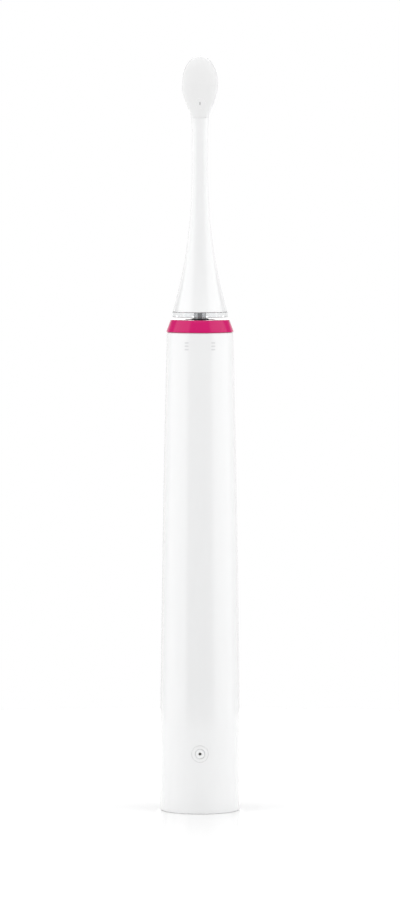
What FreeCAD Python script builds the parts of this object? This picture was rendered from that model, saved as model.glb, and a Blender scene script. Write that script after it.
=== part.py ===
import FreeCAD, Part
import os
import re

import Sketcher
from FreeCAD import Rotation, Vector

# A sonic toothbrush that stands on its own foot. Millimetres, +Z up, origin at the middle of the foot.
# -Y is the back, with the charging port. +Y is the front, with the button, the lights and the bristles.
# Each row of the sheet: name, value, what it is.
SIZES = [
    ("handle_height", 158.8, "handle shell, foot to top rim"),
    ("base_radius", 13.3, "handle shell, radius at the foot"),
    ("low_height", 42.0, "height of the first change of slope in the shell's side"),
    ("low_share", 0.8913, "share of the taper that is still to come at the low height"),
    ("mid_height", 83.0, "height of the second change of slope"),
    ("mid_share", 0.6522, "share of the taper that is still to come at the middle height"),
    ("high_height", 122.0, "height of the third change of slope"),
    ("high_share", 0.3565, "share of the taper that is still to come at the high height"),
    ("top_radius", 11.0, "handle shell, radius at the top rim"),
    ("shell_wall", 1.6, "wall of the shell at the foot and at the top rim"),
    ("foot_round", 0.6, "rounding of the foot's outer edge"),
    ("rim_chamfer", 0.25, "chamfer of the top rim"),
    ("cavity_knee", 34.0, "height at which the cavity starts to narrow"),
    ("motor_ledge", 1.0, "step in the cavity that the motor's room makes"),
    ("cap_recess", 0.3, "base cap, set back from the foot"),
    ("cap_floor", 2.2, "base cap, thickness of its floor"),
    ("cap_skirt", 5.5, "base cap, height of its skirt above the floor"),
    ("cap_skirt_wall", 1.3, "base cap, wall of its skirt"),
    ("cap_slip", 0.1, "clearance of the base cap in the shell"),
    ("seal_depth", 0.7, "base seal, depth of its groove"),
    ("seal_height", 1.6, "base seal, height"),
    ("port_height", 20.0, "height of the charging port"),
    ("port_radius", 2.75, "charging port, outer radius of its bezel"),
    ("port_insulator_radius", 1.55, "charging port, outer radius of the insulator"),
    ("port_groove", 0.1, "gap between bezel and insulator"),
    ("port_hole", 0.55, "charging port, radius of the pin hole"),
    ("contact_thick", 0.8, "charging contact, thickness"),
    ("contact_radius", 0.9, "charging contact, radius"),
    ("jack_front", 9.6, "front face of the jack, from the axis"),
    ("jack_size", 6.4, "jack housing, width and height"),
    ("chassis_gap", 0.3, "clearance of the chassis in the cavity"),
    ("chassis_wall", 1.2, "wall of the chassis tray"),
    ("chassis_foot", 27.0, "lower end of the chassis tray"),
    ("chassis_clear", 4.0, "gap between the chassis tray and the motor"),
    ("rail_width", 1.0, "chassis rails, across"),
    ("rail_depth", 2.4, "chassis rails, front to back"),
    ("bulkhead", 2.0, "thickness of the chassis bulkheads"),
    ("bulkhead_height", 41.5, "lower bulkhead, height of its underside"),
    ("cell_radius", 7.1, "battery cell, radius"),
    ("cell_length", 50.0, "battery cell, length"),
    ("cell_slip", 0.05, "clearance between cell and tray"),
    ("tab_thick", 0.2, "battery tabs, thickness"),
    ("tab_width", 4.0, "battery tabs, width"),
    ("pad_thick", 1.6, "foam pad on the cell's upper end"),
    ("board_depth", 6.2, "main board, back face in front of the handle's axis"),
    ("board_thick", 1.0, "main board, thickness"),
    ("board_width", 13.0, "main board, width"),
    ("board_foot", 14.0, "main board, height of its lower end"),
    ("board_length", 92.0, "main board, length"),
    ("screw_shank", 0.6, "board screws, radius of the shank"),
    ("screw_head", 1.2, "board screws, radius of the head"),
    ("screw_head_height", 0.7, "board screws, height of the head"),
    ("screw_bite", 4.0, "board screws, length in the chassis"),
    ("screw_spread", 4.8, "board screws, from the middle line"),
    ("chip_size", 5.0, "controller chip, width and height"),
    ("chip_thick", 0.8, "controller chip, thickness"),
    ("chip_height", 62.0, "controller chip, height of its middle"),
    ("led_size", 1.6, "status lights, width and height"),
    ("led_thick", 0.8, "status lights, thickness"),
    ("led_drop", 12.0, "first status light below the button's middle"),
    ("led_pitch", 5.0, "spacing of the status lights"),
    ("light_radius", 0.8, "light pipes, radius"),
    ("button_height", 98.0, "power button, height of its middle"),
    ("button_radius", 4.45, "power button, radius"),
    ("button_gap", 0.15, "clearance of the button in its bezel"),
    ("bezel_wall", 1.0, "button bezel, wall"),
    ("bezel_floor", 0.8, "button bezel, thickness of its floor"),
    ("button_travel", 0.4, "power button, travel"),
    ("button_spare", 0.1, "room left under the pressed button"),
    ("stem_radius", 1.2, "button stem, radius"),
    ("stem_gap", 0.05, "clearance of the stem in its seal"),
    ("stem_seal", 0.65, "button seal, thickness round the stem"),
    ("switch_size", 4.4, "switch, width and height"),
    ("switch_thick", 1.2, "switch, thickness"),
    ("plunger_radius", 0.9, "switch plunger, radius"),
    ("plunger_height", 0.4, "switch plunger, proud of the switch"),
    ("plunger_gap", 0.1, "clearance of the plunger in the switch"),
    ("motor_drop", 7.2, "motor's upper end below the shell's rim"),
    ("motor_length", 43.0, "motor, length"),
    ("can_wall", 0.6, "motor can, wall"),
    ("damper_thick", 0.7, "rubber dampers, thickness"),
    ("damper_height", 3.0, "rubber dampers, height"),
    ("damper_inset", 3.5, "rubber dampers, from the motor's ends"),
    ("rear_plate", 1.6, "motor rear plate, thickness"),
    ("lead_radius", 0.45, "motor leads, radius"),
    ("lead_spread", 2.0, "motor leads, from the middle line"),
    ("lead_joint", 3.0, "motor leads, length soldered to the board"),
    ("core_width", 14.0, "stator core, width"),
    ("core_depth", 6.8, "stator core, front to back"),
    ("core_base", 2.6, "stator core, height of its base"),
    ("core_leg", 2.2, "stator core, width of an outer leg"),
    ("core_middle", 2.6, "stator core, width of the middle leg"),
    ("core_height", 13.4, "stator core, height"),
    ("former_wall", 0.6, "coil former, wall and flanges"),
    ("former_reach", 2.2, "coil former, flange beyond its tube"),
    ("winding_inset", 0.2, "coil, set back from the flanges' edge"),
    ("air_gap", 1.0, "gap between core and magnets"),
    ("magnet_width", 5.0, "rotor magnets, width"),
    ("magnet_depth", 6.4, "rotor magnets, front to back"),
    ("magnet_height", 2.0, "rotor magnets, height"),
    ("magnet_split", 2.8, "gap between the two magnets"),
    ("yoke_radius", 7.3, "rotor yoke, radius"),
    ("yoke_height", 2.4, "rotor yoke, height"),
    ("shaft_radius", 2.0, "drive shaft, radius"),
    ("shaft_reach", 21.8, "drive shaft, tip above the shell's rim"),
    ("shaft_flat", 0.5, "drive shaft, depth of its flat"),
    ("shaft_flat_length", 12.5, "drive shaft, length of its flat"),
    ("shaft_chamfer", 0.4, "drive shaft, chamfer of its tip"),
    ("bearing_gap", 0.04, "running clearance of the shaft in its bearings"),
    ("bearing_wall", 1.56, "bearings, wall"),
    ("bearing_height", 3.0, "bearings, height"),
    ("rotor_room", 2.6, "gap between the yoke and the bearing plate"),
    ("clip_radius", 3.4, "shaft clips, radius"),
    ("clip_height", 0.7, "shaft clips, height"),
    ("clip_gap", 0.3, "gap between a clip and its bearing"),
    ("spring_radius", 3.3, "return spring, radius of the coil's middle line"),
    ("spring_wire", 0.4, "return spring, radius of the wire"),
    ("spring_pitch", 1.7, "return spring, pitch"),
    ("spring_turns", 5.0, "return spring, turns"),
    ("hub_height", 1.4, "spring hub, height"),
    ("hub_radius", 4.1, "spring hub, radius"),
    ("gasket_thick", 0.12, "collar gasket, thickness"),
    ("gasket_inset", 0.2, "collar gasket, set back from the rim"),
    ("collar_radius", 11.15, "pink collar, radius at its lower edge"),
    ("collar_top_radius", 9.68, "pink collar, radius at its top"),
    ("collar_height", 4.0, "pink collar, height"),
    ("collar_web", 2.4, "pink collar, thickness of its top"),
    ("collar_sleeve", 6.0, "pink collar, length inside the shell"),
    ("collar_sleeve_wall", 1.2, "pink collar, wall of the sleeve"),
    ("seal_radius", 5.0, "shaft seal, outer radius"),
    ("seal_lip", 0.45, "shaft seal, height of its lip above the collar"),
    ("seal_gap", 0.05, "running clearance of the shaft in its seal"),
    ("head_gap", 0.9, "gap between collar and brush head"),
    ("ring_height", 1.65, "clear ring, height"),
    ("ring_radius", 9.2, "clear ring, outer radius"),
    ("ring_bore", 5.6, "clear ring, inner radius"),
    ("neck_radius", 9.1, "neck, radius at its foot"),
    ("flare_length", 49.6, "neck, height over which it narrows"),
    ("waist_width", 2.68, "neck, half width where it is slimmest"),
    ("waist_depth", 1.85, "neck, half depth where it is slimmest"),
    ("flare_power", 2.3, "how fast the neck's width narrows"),
    ("flare_depth_power", 2.6, "how fast the neck's depth narrows"),
    ("head_rise", 75.0, "head, its middle above the neck's foot"),
    ("head_width", 6.0, "head, half width"),
    ("head_length", 9.4, "head, half length"),
    ("head_back", 2.5, "head, from the middle plane to the back"),
    ("head_front", 1.85, "head, from the middle plane to the bristle face"),
    ("plate_lap", 0.3, "head, how far the plate reaches into the domed back"),
    ("shoulder", 15.0, "head's middle down to where the neck starts to widen"),
    ("pad_depth", 0.7, "soft back, from the middle plane to its seam"),
    ("pad_seam", 10.6, "soft back, radius of its seam"),
    ("coupling_radius", 3.4, "coupling, radius of its barrel"),
    ("coupling_flange", 5.5, "coupling, radius of its flange"),
    ("coupling_flange_height", 1.2, "coupling, height of its flange"),
    ("coupling_end", 1.0, "coupling, closed end above the shaft"),
    ("coupling_gap", 0.03, "clearance of the shaft in the coupling"),
    ("tip_gap", 0.5, "room above the shaft's tip"),
    ("leaf_width", 2.2, "steel leaf, width"),
    ("leaf_thick", 0.4, "steel leaf, thickness"),
    ("leaf_length", 10.0, "steel leaf, length"),
    ("tuft_radius", 0.72, "bristle tufts, radius"),
    ("tuft_pitch", 1.85, "bristle tufts, spacing"),
    ("tuft_length", 10.0, "bristle tufts, length above the head"),
    ("tuft_root", 0.9, "bristle tufts, length inside the head"),
    ("tuft_margin", 0.45, "from the tufts to the head's edge"),
    ("anchor_height", 0.3, "tuft anchors, height"),
    ("anchor_thick", 0.25, "tuft anchors, thickness"),
]
NAMES = {name for name, size, note in SIZES}
SHELL_LIGHTS = 3
TUFT_ROWS = 5

doc = FreeCAD.newDocument("toothbrush")
sheet = doc.addObject("Spreadsheet::Sheet", "sizes")
for row, (name, size, note) in enumerate(SIZES, start=1):
    sheet.set(f"A{row}", note)
    sheet.set(f"B{row}", str(size))
    sheet.setAlias(f"B{row}", name)
doc.recompute()
parts = []


# ---- helpers: expressions, sketches, bodies, primitives and booleans ----

def sized(text):
    """The expression with the sheet's names written as other objects need them."""
    return re.sub(r"[a-z]\w*", lambda word: f"sizes.{word[0]}" if word[0] in NAMES else word[0], text)


def worth(text):
    """The number that an expression comes to."""
    return float(sheet.evalExpression(sized(text)))


def node(thing, label):
    """Name a finished sub-part, which is then written to its own file."""
    thing.Label = label
    parts.append(thing)
    return thing


def bind(thing, **expressions):
    """Bind properties to expressions in the sheet's names."""
    for key, text in expressions.items():
        thing.setExpression(key, sized(text))
    return thing


def put(thing, *place):
    """Bind the place of an object to three expressions."""
    for axis, text in zip("xyz", place):
        thing.setExpression(f"Placement.Base.{axis}", sized(text))
    return thing


def pin(sketch, geometry, end, across, up):
    """Hold a point of a sketch at two expressions, measured from the sketch's origin."""
    for kind, axis, text in (("DistanceX", -2, across), ("DistanceY", -1, up)):
        if text == "0":
            sketch.addConstraint(Sketcher.Constraint("PointOnObject", geometry, end, axis))
            continue
        held = sketch.addConstraint(Sketcher.Constraint(kind, -1, 1, geometry, end, worth(text)))
        sketch.setExpression(f"Constraints[{held}]", sized(text))


def sketch_on(body, plane):
    """An empty sketch on one of the body's own origin planes."""
    sketch = body.newObject("Sketcher::SketchObject", "sketch")
    face = next(item for item in body.Origin.OriginFeatures if item.Role == plane)
    sketch.AttachmentSupport = (face, [""])
    sketch.MapMode = "FlatFace"
    return sketch


def outline(body, plane, corners, arcs=None):
    """A closed outline through corners. arcs gives, for a side's number, the point that it bends through."""
    arcs = arcs or {}
    sketch = sketch_on(body, plane)
    spots = [Vector(worth(across), worth(up), 0) for across, up in corners]
    sides = []
    for side, start in enumerate(spots):
        end = spots[(side + 1) % len(spots)]
        if side in arcs:
            across, up = arcs[side]
            middle = Vector(worth(across), worth(up), 0)
            sides.append(sketch.addGeometry(Part.Arc(start, middle, end)))
            mark = sketch.addGeometry(Part.Point(middle), True)
            sketch.addConstraint(Sketcher.Constraint("PointOnObject", mark, 1, sides[-1]))
            pin(sketch, mark, 1, across, up)
        else:
            sides.append(sketch.addGeometry(Part.LineSegment(start, end)))
    starts = [starting_end(sketch, side, spot) for side, spot in zip(sides, spots)]
    for count, side in enumerate(sides):
        after = (count + 1) % len(sides)
        ends = (side, 3 - starts[count], sides[after], starts[after])
        sketch.addConstraint(Sketcher.Constraint("Coincident", *ends))
        pin(sketch, side, starts[count], *corners[count])
    return sketch


def starting_end(sketch, side, spot):
    """Which end of a side, 1 or 2, lies on its starting corner. An arc is stored anticlockwise."""
    return min((1, 2), key=lambda end: sketch.getPoint(side, end).distanceToPoint(spot))


def turned(label, corners, arcs=None):
    """A body turned about the upright axis from an outline of (radius, height) corners."""
    body = doc.addObject("PartDesign::Body", label)
    sketch = outline(body, "XZ_Plane", corners, arcs)
    turning = body.newObject("PartDesign::Revolution", "turning")
    turning.Profile = sketch
    turning.ReferenceAxis = (sketch, ["V_Axis"])
    turning.Angle = 360
    return body


def ring(label, inner, outer, low, height):
    """A plain ring, or a disc where inner is 0."""
    high = f"({low}) + ({height})"
    return turned(label, [(inner, low), (outer, low), (outer, high), (inner, high)])


def drill(body, holes, forward):
    """Round holes through the body's front or back half; each hole is (across, up, radius)."""
    sketch = sketch_on(body, "XZ_Plane")
    for across, up, radius in holes:
        middle = Vector(worth(across), worth(up), 0)
        circle = sketch.addGeometry(Part.Circle(middle, Vector(0, 0, 1), worth(radius)))
        pin(sketch, circle, 3, across, up)
        held = sketch.addConstraint(Sketcher.Constraint("Radius", circle, worth(radius)))
        sketch.setExpression(f"Constraints[{held}]", sized(radius))
    doc.recompute()
    before = body.Shape.Volume
    pocket = body.newObject("PartDesign::Pocket", "holes")
    pocket.Profile = sketch
    pocket.Type = "ThroughAll"
    pocket.Reversed = not forward
    doc.recompute()
    if body.Shape.Volume >= before:
        raise RuntimeError(f"a hole in {body.Label} cuts nothing")


def slot(body, corners, width=None):
    """A pocket either side of the body's middle plane from an outline of (front, height) corners."""
    sketch = outline(body, "YZ_Plane", corners)
    doc.recompute()
    before = body.Shape.Volume
    pocket = body.newObject("PartDesign::Pocket", "slot")
    pocket.Profile = sketch
    pocket.Midplane = True
    if width:
        bind(pocket, Length=width)
    else:
        pocket.Type = "ThroughAll"
    doc.recompute()
    if body.Shape.Volume >= before:
        raise RuntimeError(f"a slot in {body.Label} cuts nothing")


def rod(radius, length, *place, forward=False):
    """A cylinder, upright or, where forward is set, pointing to the front."""
    thing = doc.addObject("Part::Cylinder", "rod")
    if forward:
        thing.Placement = FreeCAD.Placement(Vector(), Rotation(Vector(1, 0, 0), -90))
    return put(bind(thing, Radius=radius, Height=length), *place)


def block(width, depth, height, *place):
    """A box centred across, with place giving its middle across, its back face and its underside."""
    thing = bind(doc.addObject("Part::Box", "block"), Length=width, Width=depth, Height=height)
    return put(thing, f"({place[0]}) - ({width}) / 2", place[1], place[2])


def fuse(*things):
    """Several shapes joined into one."""
    joined = doc.addObject("Part::MultiFuse", "fuse")
    joined.Shapes = list(things)
    return joined


def common(*things):
    """What several shapes share."""
    shared = doc.addObject("Part::MultiCommon", "common")
    shared.Shapes = list(things)
    return shared


def cut(base, *tools):
    """A shape with one or more tools taken from it."""
    less = doc.addObject("Part::Cut", "cut")
    less.Base = base
    less.Tool = tools[0] if len(tools) == 1 else fuse(*tools)
    return less


def group(*things):
    """Separate solids kept together."""
    kept = doc.addObject("Part::Compound", "group")
    kept.Links = list(things)
    return kept


# ---- places that several pieces share ----

BORE = "(top_radius - shell_wall)"
CAVITY = "(base_radius - shell_wall)"
CHASSIS = f"({BORE} + motor_ledge - chassis_gap)"
TRAY = f"({CHASSIS} - chassis_wall)"
CELL_SHIFT = f"(cell_radius + cell_slip - {TRAY})"
BOARD_FRONT = "(board_depth + board_thick)"
CELL_FOOT = "(bulkhead_height + bulkhead + tab_thick)"
CELL_TOP = f"({CELL_FOOT} + cell_length)"
UPPER_BULKHEAD = f"({CELL_TOP} + tab_thick + pad_thick)"
SWITCH_FRONT = f"({BOARD_FRONT} + switch_thick)"
STEM_END = f"({SWITCH_FRONT} + plunger_height)"
BEZEL_BACK = f"({STEM_END} + button_spare)"
CAP_BACK = f"({BEZEL_BACK} + bezel_floor + button_travel + button_spare)"
BEZEL = "(button_radius + button_gap + bezel_wall)"
CAN = f"({BORE} - damper_thick)"
CAN_BORE = f"({CAN} - can_wall)"
MOTOR_TOP = "(handle_height - motor_drop)"
MOTOR_FOOT = f"({MOTOR_TOP} - motor_length)"
CORE_FOOT = f"({MOTOR_FOOT} + rear_plate)"
CORE_TOP = f"({CORE_FOOT} + core_height)"
FORMER_FOOT = f"({CORE_FOOT} + core_base)"
FORMER_HEIGHT = "(core_height - core_base)"
FORMER_WIDTH = "(core_middle + 2 * former_wall)"
FORMER_DEPTH = "(core_depth + 2 * former_wall)"
MAGNET_FOOT = f"({CORE_TOP} + air_gap)"
YOKE_FOOT = f"({MAGNET_FOOT} + magnet_height)"
YOKE_TOP = f"({YOKE_FOOT} + yoke_height)"
REAR_BEARING = f"({YOKE_TOP} + rotor_room)"
FRONT_BEARING = f"({MOTOR_TOP} - bearing_height)"
BEARING = "(shaft_radius + bearing_gap)"
BEARING_SEAT = f"({BEARING} + bearing_wall)"
COLLAR_FOOT = "(handle_height + gasket_thick)"
COLLAR_TOP = f"({COLLAR_FOOT} + collar_height)"
RING_FOOT = f"({COLLAR_TOP} + head_gap)"
NECK_FOOT = f"({RING_FOOT} + ring_height)"
SHAFT_TIP = "(handle_height + shaft_reach)"
FLAT_FOOT = f"({SHAFT_TIP} - shaft_flat_length)"
COUPLING_TOP = f"({SHAFT_TIP} + tip_gap + coupling_end)"
FLAT = "(shaft_radius - shaft_flat)"
HEAD_MIDDLE = f"({NECK_FOOT} + head_rise)"
HEAD_TOP = f"({HEAD_MIDDLE} + head_length)"
ROOT_END = "(head_front - tuft_root)"


# ---- handle shell and what closes it ----

# The outer form is a taper that steepens upwards, with a rounded foot and a chamfered rim. The cavity is
# straight, then narrows, then is a bore for the motor and the collar.
TAPER = [(f"top_radius + {step}_share * (base_radius - top_radius)", f"{step}_height")
         for step in ("low", "mid", "high")]
OUTSIDE = [("base_radius - foot_round", "0"), ("base_radius", "foot_round"), *TAPER,
           ("top_radius", "handle_height - rim_chamfer"), ("top_radius - rim_chamfer", "handle_height")]
LEDGE = f"({MOTOR_FOOT} - motor_ledge)"
CAVITY_WALL = [(BORE, "handle_height"), (BORE, LEDGE), (f"{BORE} + motor_ledge", LEDGE),
               (CAVITY, "cavity_knee"), (CAVITY, "0")]
CORNER = f"foot_round * {1 - 0.5 ** 0.5:.4f}"
BENDS = {0: (f"base_radius - {CORNER}", CORNER)}
CLEAR = "2 * base_radius"
FORM = turned("handle_form", OUTSIDE + [("0", "handle_height"), ("0", "0")], BENDS)


def light_height(count):
    """Height of one status light."""
    return f"button_height - led_drop - {count} * led_pitch"


shell = turned("handle_shell", OUTSIDE + CAVITY_WALL, BENDS)
light_holes = [("0", light_height(count), "light_radius") for count in range(SHELL_LIGHTS)]
drill(shell, [("0", "button_height", BEZEL)] + light_holes, forward=True)
drill(shell, [("0", "port_height", "port_radius")], forward=False)
node(shell, "handle_shell")

CAP_RADIUS = f"({CAVITY} - cap_slip)"
CAP_TOP = "(cap_recess + cap_floor)"
SKIRT_TOP = f"({CAP_TOP} + cap_skirt)"
SEAL_LOW = f"({CAP_TOP} + (cap_skirt - seal_height) / 2)"
SEAL_HIGH = f"({SEAL_LOW} + seal_height)"
GROOVE = f"({CAP_RADIUS} - seal_depth)"
SKIRT_BORE = f"({CAP_RADIUS} - cap_skirt_wall)"
node(turned("base_cap", [
    ("0", "cap_recess"), (CAP_RADIUS, "cap_recess"), (CAP_RADIUS, SEAL_LOW), (GROOVE, SEAL_LOW),
    (GROOVE, SEAL_HIGH), (CAP_RADIUS, SEAL_HIGH), (CAP_RADIUS, SKIRT_TOP), (SKIRT_BORE, SKIRT_TOP),
    (SKIRT_BORE, CAP_TOP), ("0", CAP_TOP),
]), "base_cap")
node(ring("base_seal", GROOVE, CAVITY, SEAL_LOW, "seal_height"), "base_seal")


# ---- charging port on the back ----

def port_rod(radius, reach):
    """A cylinder on the port's axis, from beyond the shell in to a distance from the handle's axis."""
    return rod(radius, f"{CLEAR} - ({reach})", "0", f"-({CLEAR})", "port_height", forward=True)


bezel_bore = port_rod("port_insulator_radius + port_groove", "0")
node(cut(common(FORM, port_rod("port_radius", "jack_front")), bezel_bore), "port_bezel")
pin_hole = port_rod("port_hole", "0")
node(cut(common(FORM, port_rod("port_insulator_radius", "jack_front")), pin_hole), "port_insulator")


def contact_rod():
    """The contact's disc, at the outer face of the jack."""
    return rod("contact_radius", "contact_thick", "0", "-jack_front", "port_height", forward=True)


JACK_FOOT = "port_height - jack_size / 2"
node(contact_rod(), "charging_contact")
jack = block("jack_size", "jack_front + board_depth", "jack_size", "0", "-jack_front", JACK_FOOT)
node(cut(jack, contact_rod()), "charging_jack")


# ---- chassis, battery and board ----

def screw_places():
    """The middle of each board screw: across and up."""
    for up in ("bulkhead_height + bulkhead / 2", f"{UPPER_BULKHEAD} + bulkhead / 2"):
        for side in ("", "-"):
            yield f"{side}screw_spread", up


def screw_rods(radius, back, length):
    """One rod at each board screw."""
    return [rod(radius, length, across, back, up, forward=True) for across, up in screw_places()]


def bulkhead(low):
    """A cross wall of the chassis, cut straight where the board lies on it."""
    disc = rod(CHASSIS, "bulkhead", "0", "0", low)
    return common(disc, block(CLEAR, f"{CLEAR} + board_depth", "bulkhead", "0", f"-({CLEAR})", low))


def chassis():
    """A half tube behind the cell, two cross walls, and two rails down to the base cap."""
    height = f"{MOTOR_FOOT} - chassis_clear - chassis_foot"
    tube = cut(rod(CHASSIS, height, "0", "0", "chassis_foot"), rod(TRAY, height, "0", "0", "chassis_foot"))
    half = common(tube, block(CLEAR, CLEAR, height, "0", f"-({CLEAR})", "chassis_foot"))
    rail_height = f"chassis_foot + bulkhead - {CAP_TOP}"
    rail_middle = f"({TRAY} + rail_width / 2)"
    rails = [block("rail_width", "rail_depth", rail_height, f"{side}{rail_middle}", "-rail_depth", CAP_TOP)
             for side in ("", "-")]
    walls = fuse(half, bulkhead("bulkhead_height"), bulkhead(UPPER_BULKHEAD), *rails)
    return cut(walls, *screw_rods("screw_shank", "board_depth - screw_bite", "screw_bite"))


def battery_tab(low):
    """A strip from the middle of the cell's end to the back of the board."""
    return block("tab_width", f"board_depth - {CELL_SHIFT}", "tab_thick", "0", CELL_SHIFT, low)


node(chassis(), "chassis")
node(rod("cell_radius", "cell_length", "0", CELL_SHIFT, CELL_FOOT), "battery_cell")
node(group(battery_tab(f"{CELL_FOOT} - tab_thick"), battery_tab(CELL_TOP)), "battery_tabs")
node(rod("cell_radius - 2 * tab_thick", "pad_thick", "0", CELL_SHIFT, f"{CELL_TOP} + tab_thick"),
     "battery_pad")

board_blank = block("board_width", "board_thick", "board_length", "0", "board_depth", "board_foot")
node(cut(board_blank, *screw_rods("screw_shank", "board_depth", "board_thick")), "main_board")
screws = [fuse(shank, head) for shank, head in zip(
    screw_rods("screw_shank", "board_depth - screw_bite", "screw_bite + board_thick"),
    screw_rods("screw_head", BOARD_FRONT, "screw_head_height"))]
node(group(*screws), "board_screws")
node(block("chip_size", "chip_thick", "chip_size", "0", BOARD_FRONT, "chip_height - chip_size / 2"),
     "controller_chip")
node(group(*[block("led_size", "led_thick", "led_size", "0", BOARD_FRONT,
                   f"{light_height(count)} - led_size / 2") for count in range(SHELL_LIGHTS)]),
     "status_leds")
PIPE_BACK = f"({BOARD_FRONT} + led_thick)"
node(common(FORM, group(*[rod("light_radius", CLEAR, "0", PIPE_BACK, light_height(count), forward=True)
                          for count in range(SHELL_LIGHTS)])), "light_pipes")


# ---- power button, its bezel and its switch ----

def button_rod(radius, back, length):
    """A cylinder on the button's axis."""
    return rod(radius, length, "0", back, "button_height", forward=True)


well = button_rod("button_radius + button_gap", f"{BEZEL_BACK} + bezel_floor", CLEAR)
stem_hole = button_rod("stem_radius + stem_gap + stem_seal", BEZEL_BACK, "bezel_floor")
node(cut(common(FORM, button_rod(BEZEL, BEZEL_BACK, CLEAR)), well, stem_hole), "button_bezel")
node(cut(button_rod("stem_radius + stem_gap + stem_seal", BEZEL_BACK, "bezel_floor"),
         button_rod("stem_radius + stem_gap", BEZEL_BACK, "bezel_floor")), "button_seal")
node(fuse(common(FORM, button_rod("button_radius", CAP_BACK, CLEAR)),
          button_rod("stem_radius", STEM_END, f"{CAP_BACK} - {STEM_END} + button_spare")), "power_button")
PLUNGER_ROOT = f"({SWITCH_FRONT} - plunger_gap)"
switch_block = block("switch_size", "switch_thick", "switch_size", "0", BOARD_FRONT,
                     "button_height - switch_size / 2")
switch_hole = button_rod("plunger_radius + plunger_gap",
                         f"{PLUNGER_ROOT} - button_travel - button_spare", CLEAR)
node(cut(switch_block, switch_hole), "switch_body")
node(button_rod("plunger_radius", PLUNGER_ROOT, "plunger_height + plunger_gap"), "switch_plunger")


# ---- motor ----

LEAD_DEPTH = "(board_depth - lead_radius)"
LEAD_FOOT = "(board_foot + board_length - lead_joint)"
lead_ends = [f"{side}lead_spread" for side in ("", "-")]
lead_holes = [rod("lead_radius", "rear_plate", across, LEAD_DEPTH, MOTOR_FOOT) for across in lead_ends]
node(ring("motor_can", CAN_BORE, CAN, MOTOR_FOOT, "motor_length"), "motor_can")
node(cut(ring("rear_plate_blank", "0", CAN_BORE, MOTOR_FOOT, "rear_plate"), *lead_holes), "motor_rear_plate")
node(group(*[rod("lead_radius", f"{FORMER_FOOT} - {LEAD_FOOT}", across, LEAD_DEPTH, LEAD_FOOT)
             for across in lead_ends]), "motor_leads")
node(ring("rear_damper", CAN, BORE, f"{MOTOR_FOOT} + damper_inset", "damper_height"), "rear_damper")
node(ring("front_damper", CAN, BORE, f"{MOTOR_TOP} - damper_inset - damper_height", "damper_height"),
     "front_damper")

CORE_BACK = "-core_depth / 2"
LEG_MIDDLE = "(core_width - core_leg) / 2"
core_legs = [block("core_leg", "core_depth", "core_height", f"{side}{LEG_MIDDLE}", CORE_BACK, CORE_FOOT)
             for side in ("", "-")]
core_base = block("core_width", "core_depth", "core_base", "0", CORE_BACK, CORE_FOOT)
core_middle = block("core_middle", "core_depth", "core_height", "0", CORE_BACK, CORE_FOOT)
node(fuse(core_base, core_middle, *core_legs), "stator_core")


def coil_block(grow, low, height):
    """A box round the former's tube, larger by grow on each side."""
    depth = f"({FORMER_DEPTH} + 2 * ({grow}))"
    return block(f"{FORMER_WIDTH} + 2 * ({grow})", depth, height, "0", f"-{depth} / 2", low)


middle_leg = block("core_middle", "core_depth", "core_height", "0", CORE_BACK, CORE_FOOT)
upper_flange = f"{FORMER_FOOT} + {FORMER_HEIGHT} - former_wall"
former = fuse(coil_block("0", FORMER_FOOT, FORMER_HEIGHT),
              coil_block("former_reach", FORMER_FOOT, "former_wall"),
              coil_block("former_reach", upper_flange, "former_wall"))
node(cut(former, middle_leg), "coil_former")
COIL = (f"{FORMER_FOOT} + former_wall", f"{FORMER_HEIGHT} - 2 * former_wall")
node(cut(coil_block("former_reach - winding_inset", *COIL), coil_block("0", *COIL)), "coil_winding")

node(ring("bearing_plate", BEARING_SEAT, CAN_BORE, REAR_BEARING, "bearing_height"), "bearing_plate")
node(ring("rear_bearing", BEARING, BEARING_SEAT, REAR_BEARING, "bearing_height"), "rear_bearing")
node(ring("front_plate", BEARING_SEAT, CAN_BORE, FRONT_BEARING, "bearing_height"), "front_plate")
node(ring("front_bearing", BEARING, BEARING_SEAT, FRONT_BEARING, "bearing_height"), "front_bearing")


# ---- drive: what turns with the shaft ----

def drive_shaft():
    """The shaft, with a chamfered tip and a flat for the brush head's leaf."""
    body = turned("drive_shaft", [("0", YOKE_FOOT), ("shaft_radius", YOKE_FOOT),
                                  ("shaft_radius", f"{SHAFT_TIP} - shaft_chamfer"),
                                  ("shaft_radius - shaft_chamfer", SHAFT_TIP), ("0", SHAFT_TIP)])
    above = f"{SHAFT_TIP} + shaft_radius"
    beyond = "2 * shaft_radius"
    slot(body, [(FLAT, FLAT_FOOT), (beyond, FLAT_FOOT), (beyond, above), (FLAT, above)])
    return body


def return_spring():
    """A torsion coil round the shaft, below its hub."""
    body = doc.addObject("PartDesign::Body", "return_spring")
    sketch = sketch_on(body, "XZ_Plane")
    foot = f"{HUB_FOOT} - spring_turns * spring_pitch - spring_wire"
    middle = Vector(worth("spring_radius"), worth(foot), 0)
    wire = sketch.addGeometry(Part.Circle(middle, Vector(0, 0, 1), worth("spring_wire")))
    pin(sketch, wire, 3, "spring_radius", foot)
    held = sketch.addConstraint(Sketcher.Constraint("Radius", wire, worth("spring_wire")))
    sketch.setExpression(f"Constraints[{held}]", sized("spring_wire"))
    coil = body.newObject("PartDesign::AdditiveHelix", "coil")
    coil.Profile = sketch
    coil.ReferenceAxis = (sketch, ["V_Axis"])
    coil.Mode = "pitch-turns-angle"
    return bind(coil, Pitch="spring_pitch", Turns="spring_turns") and body


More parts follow.
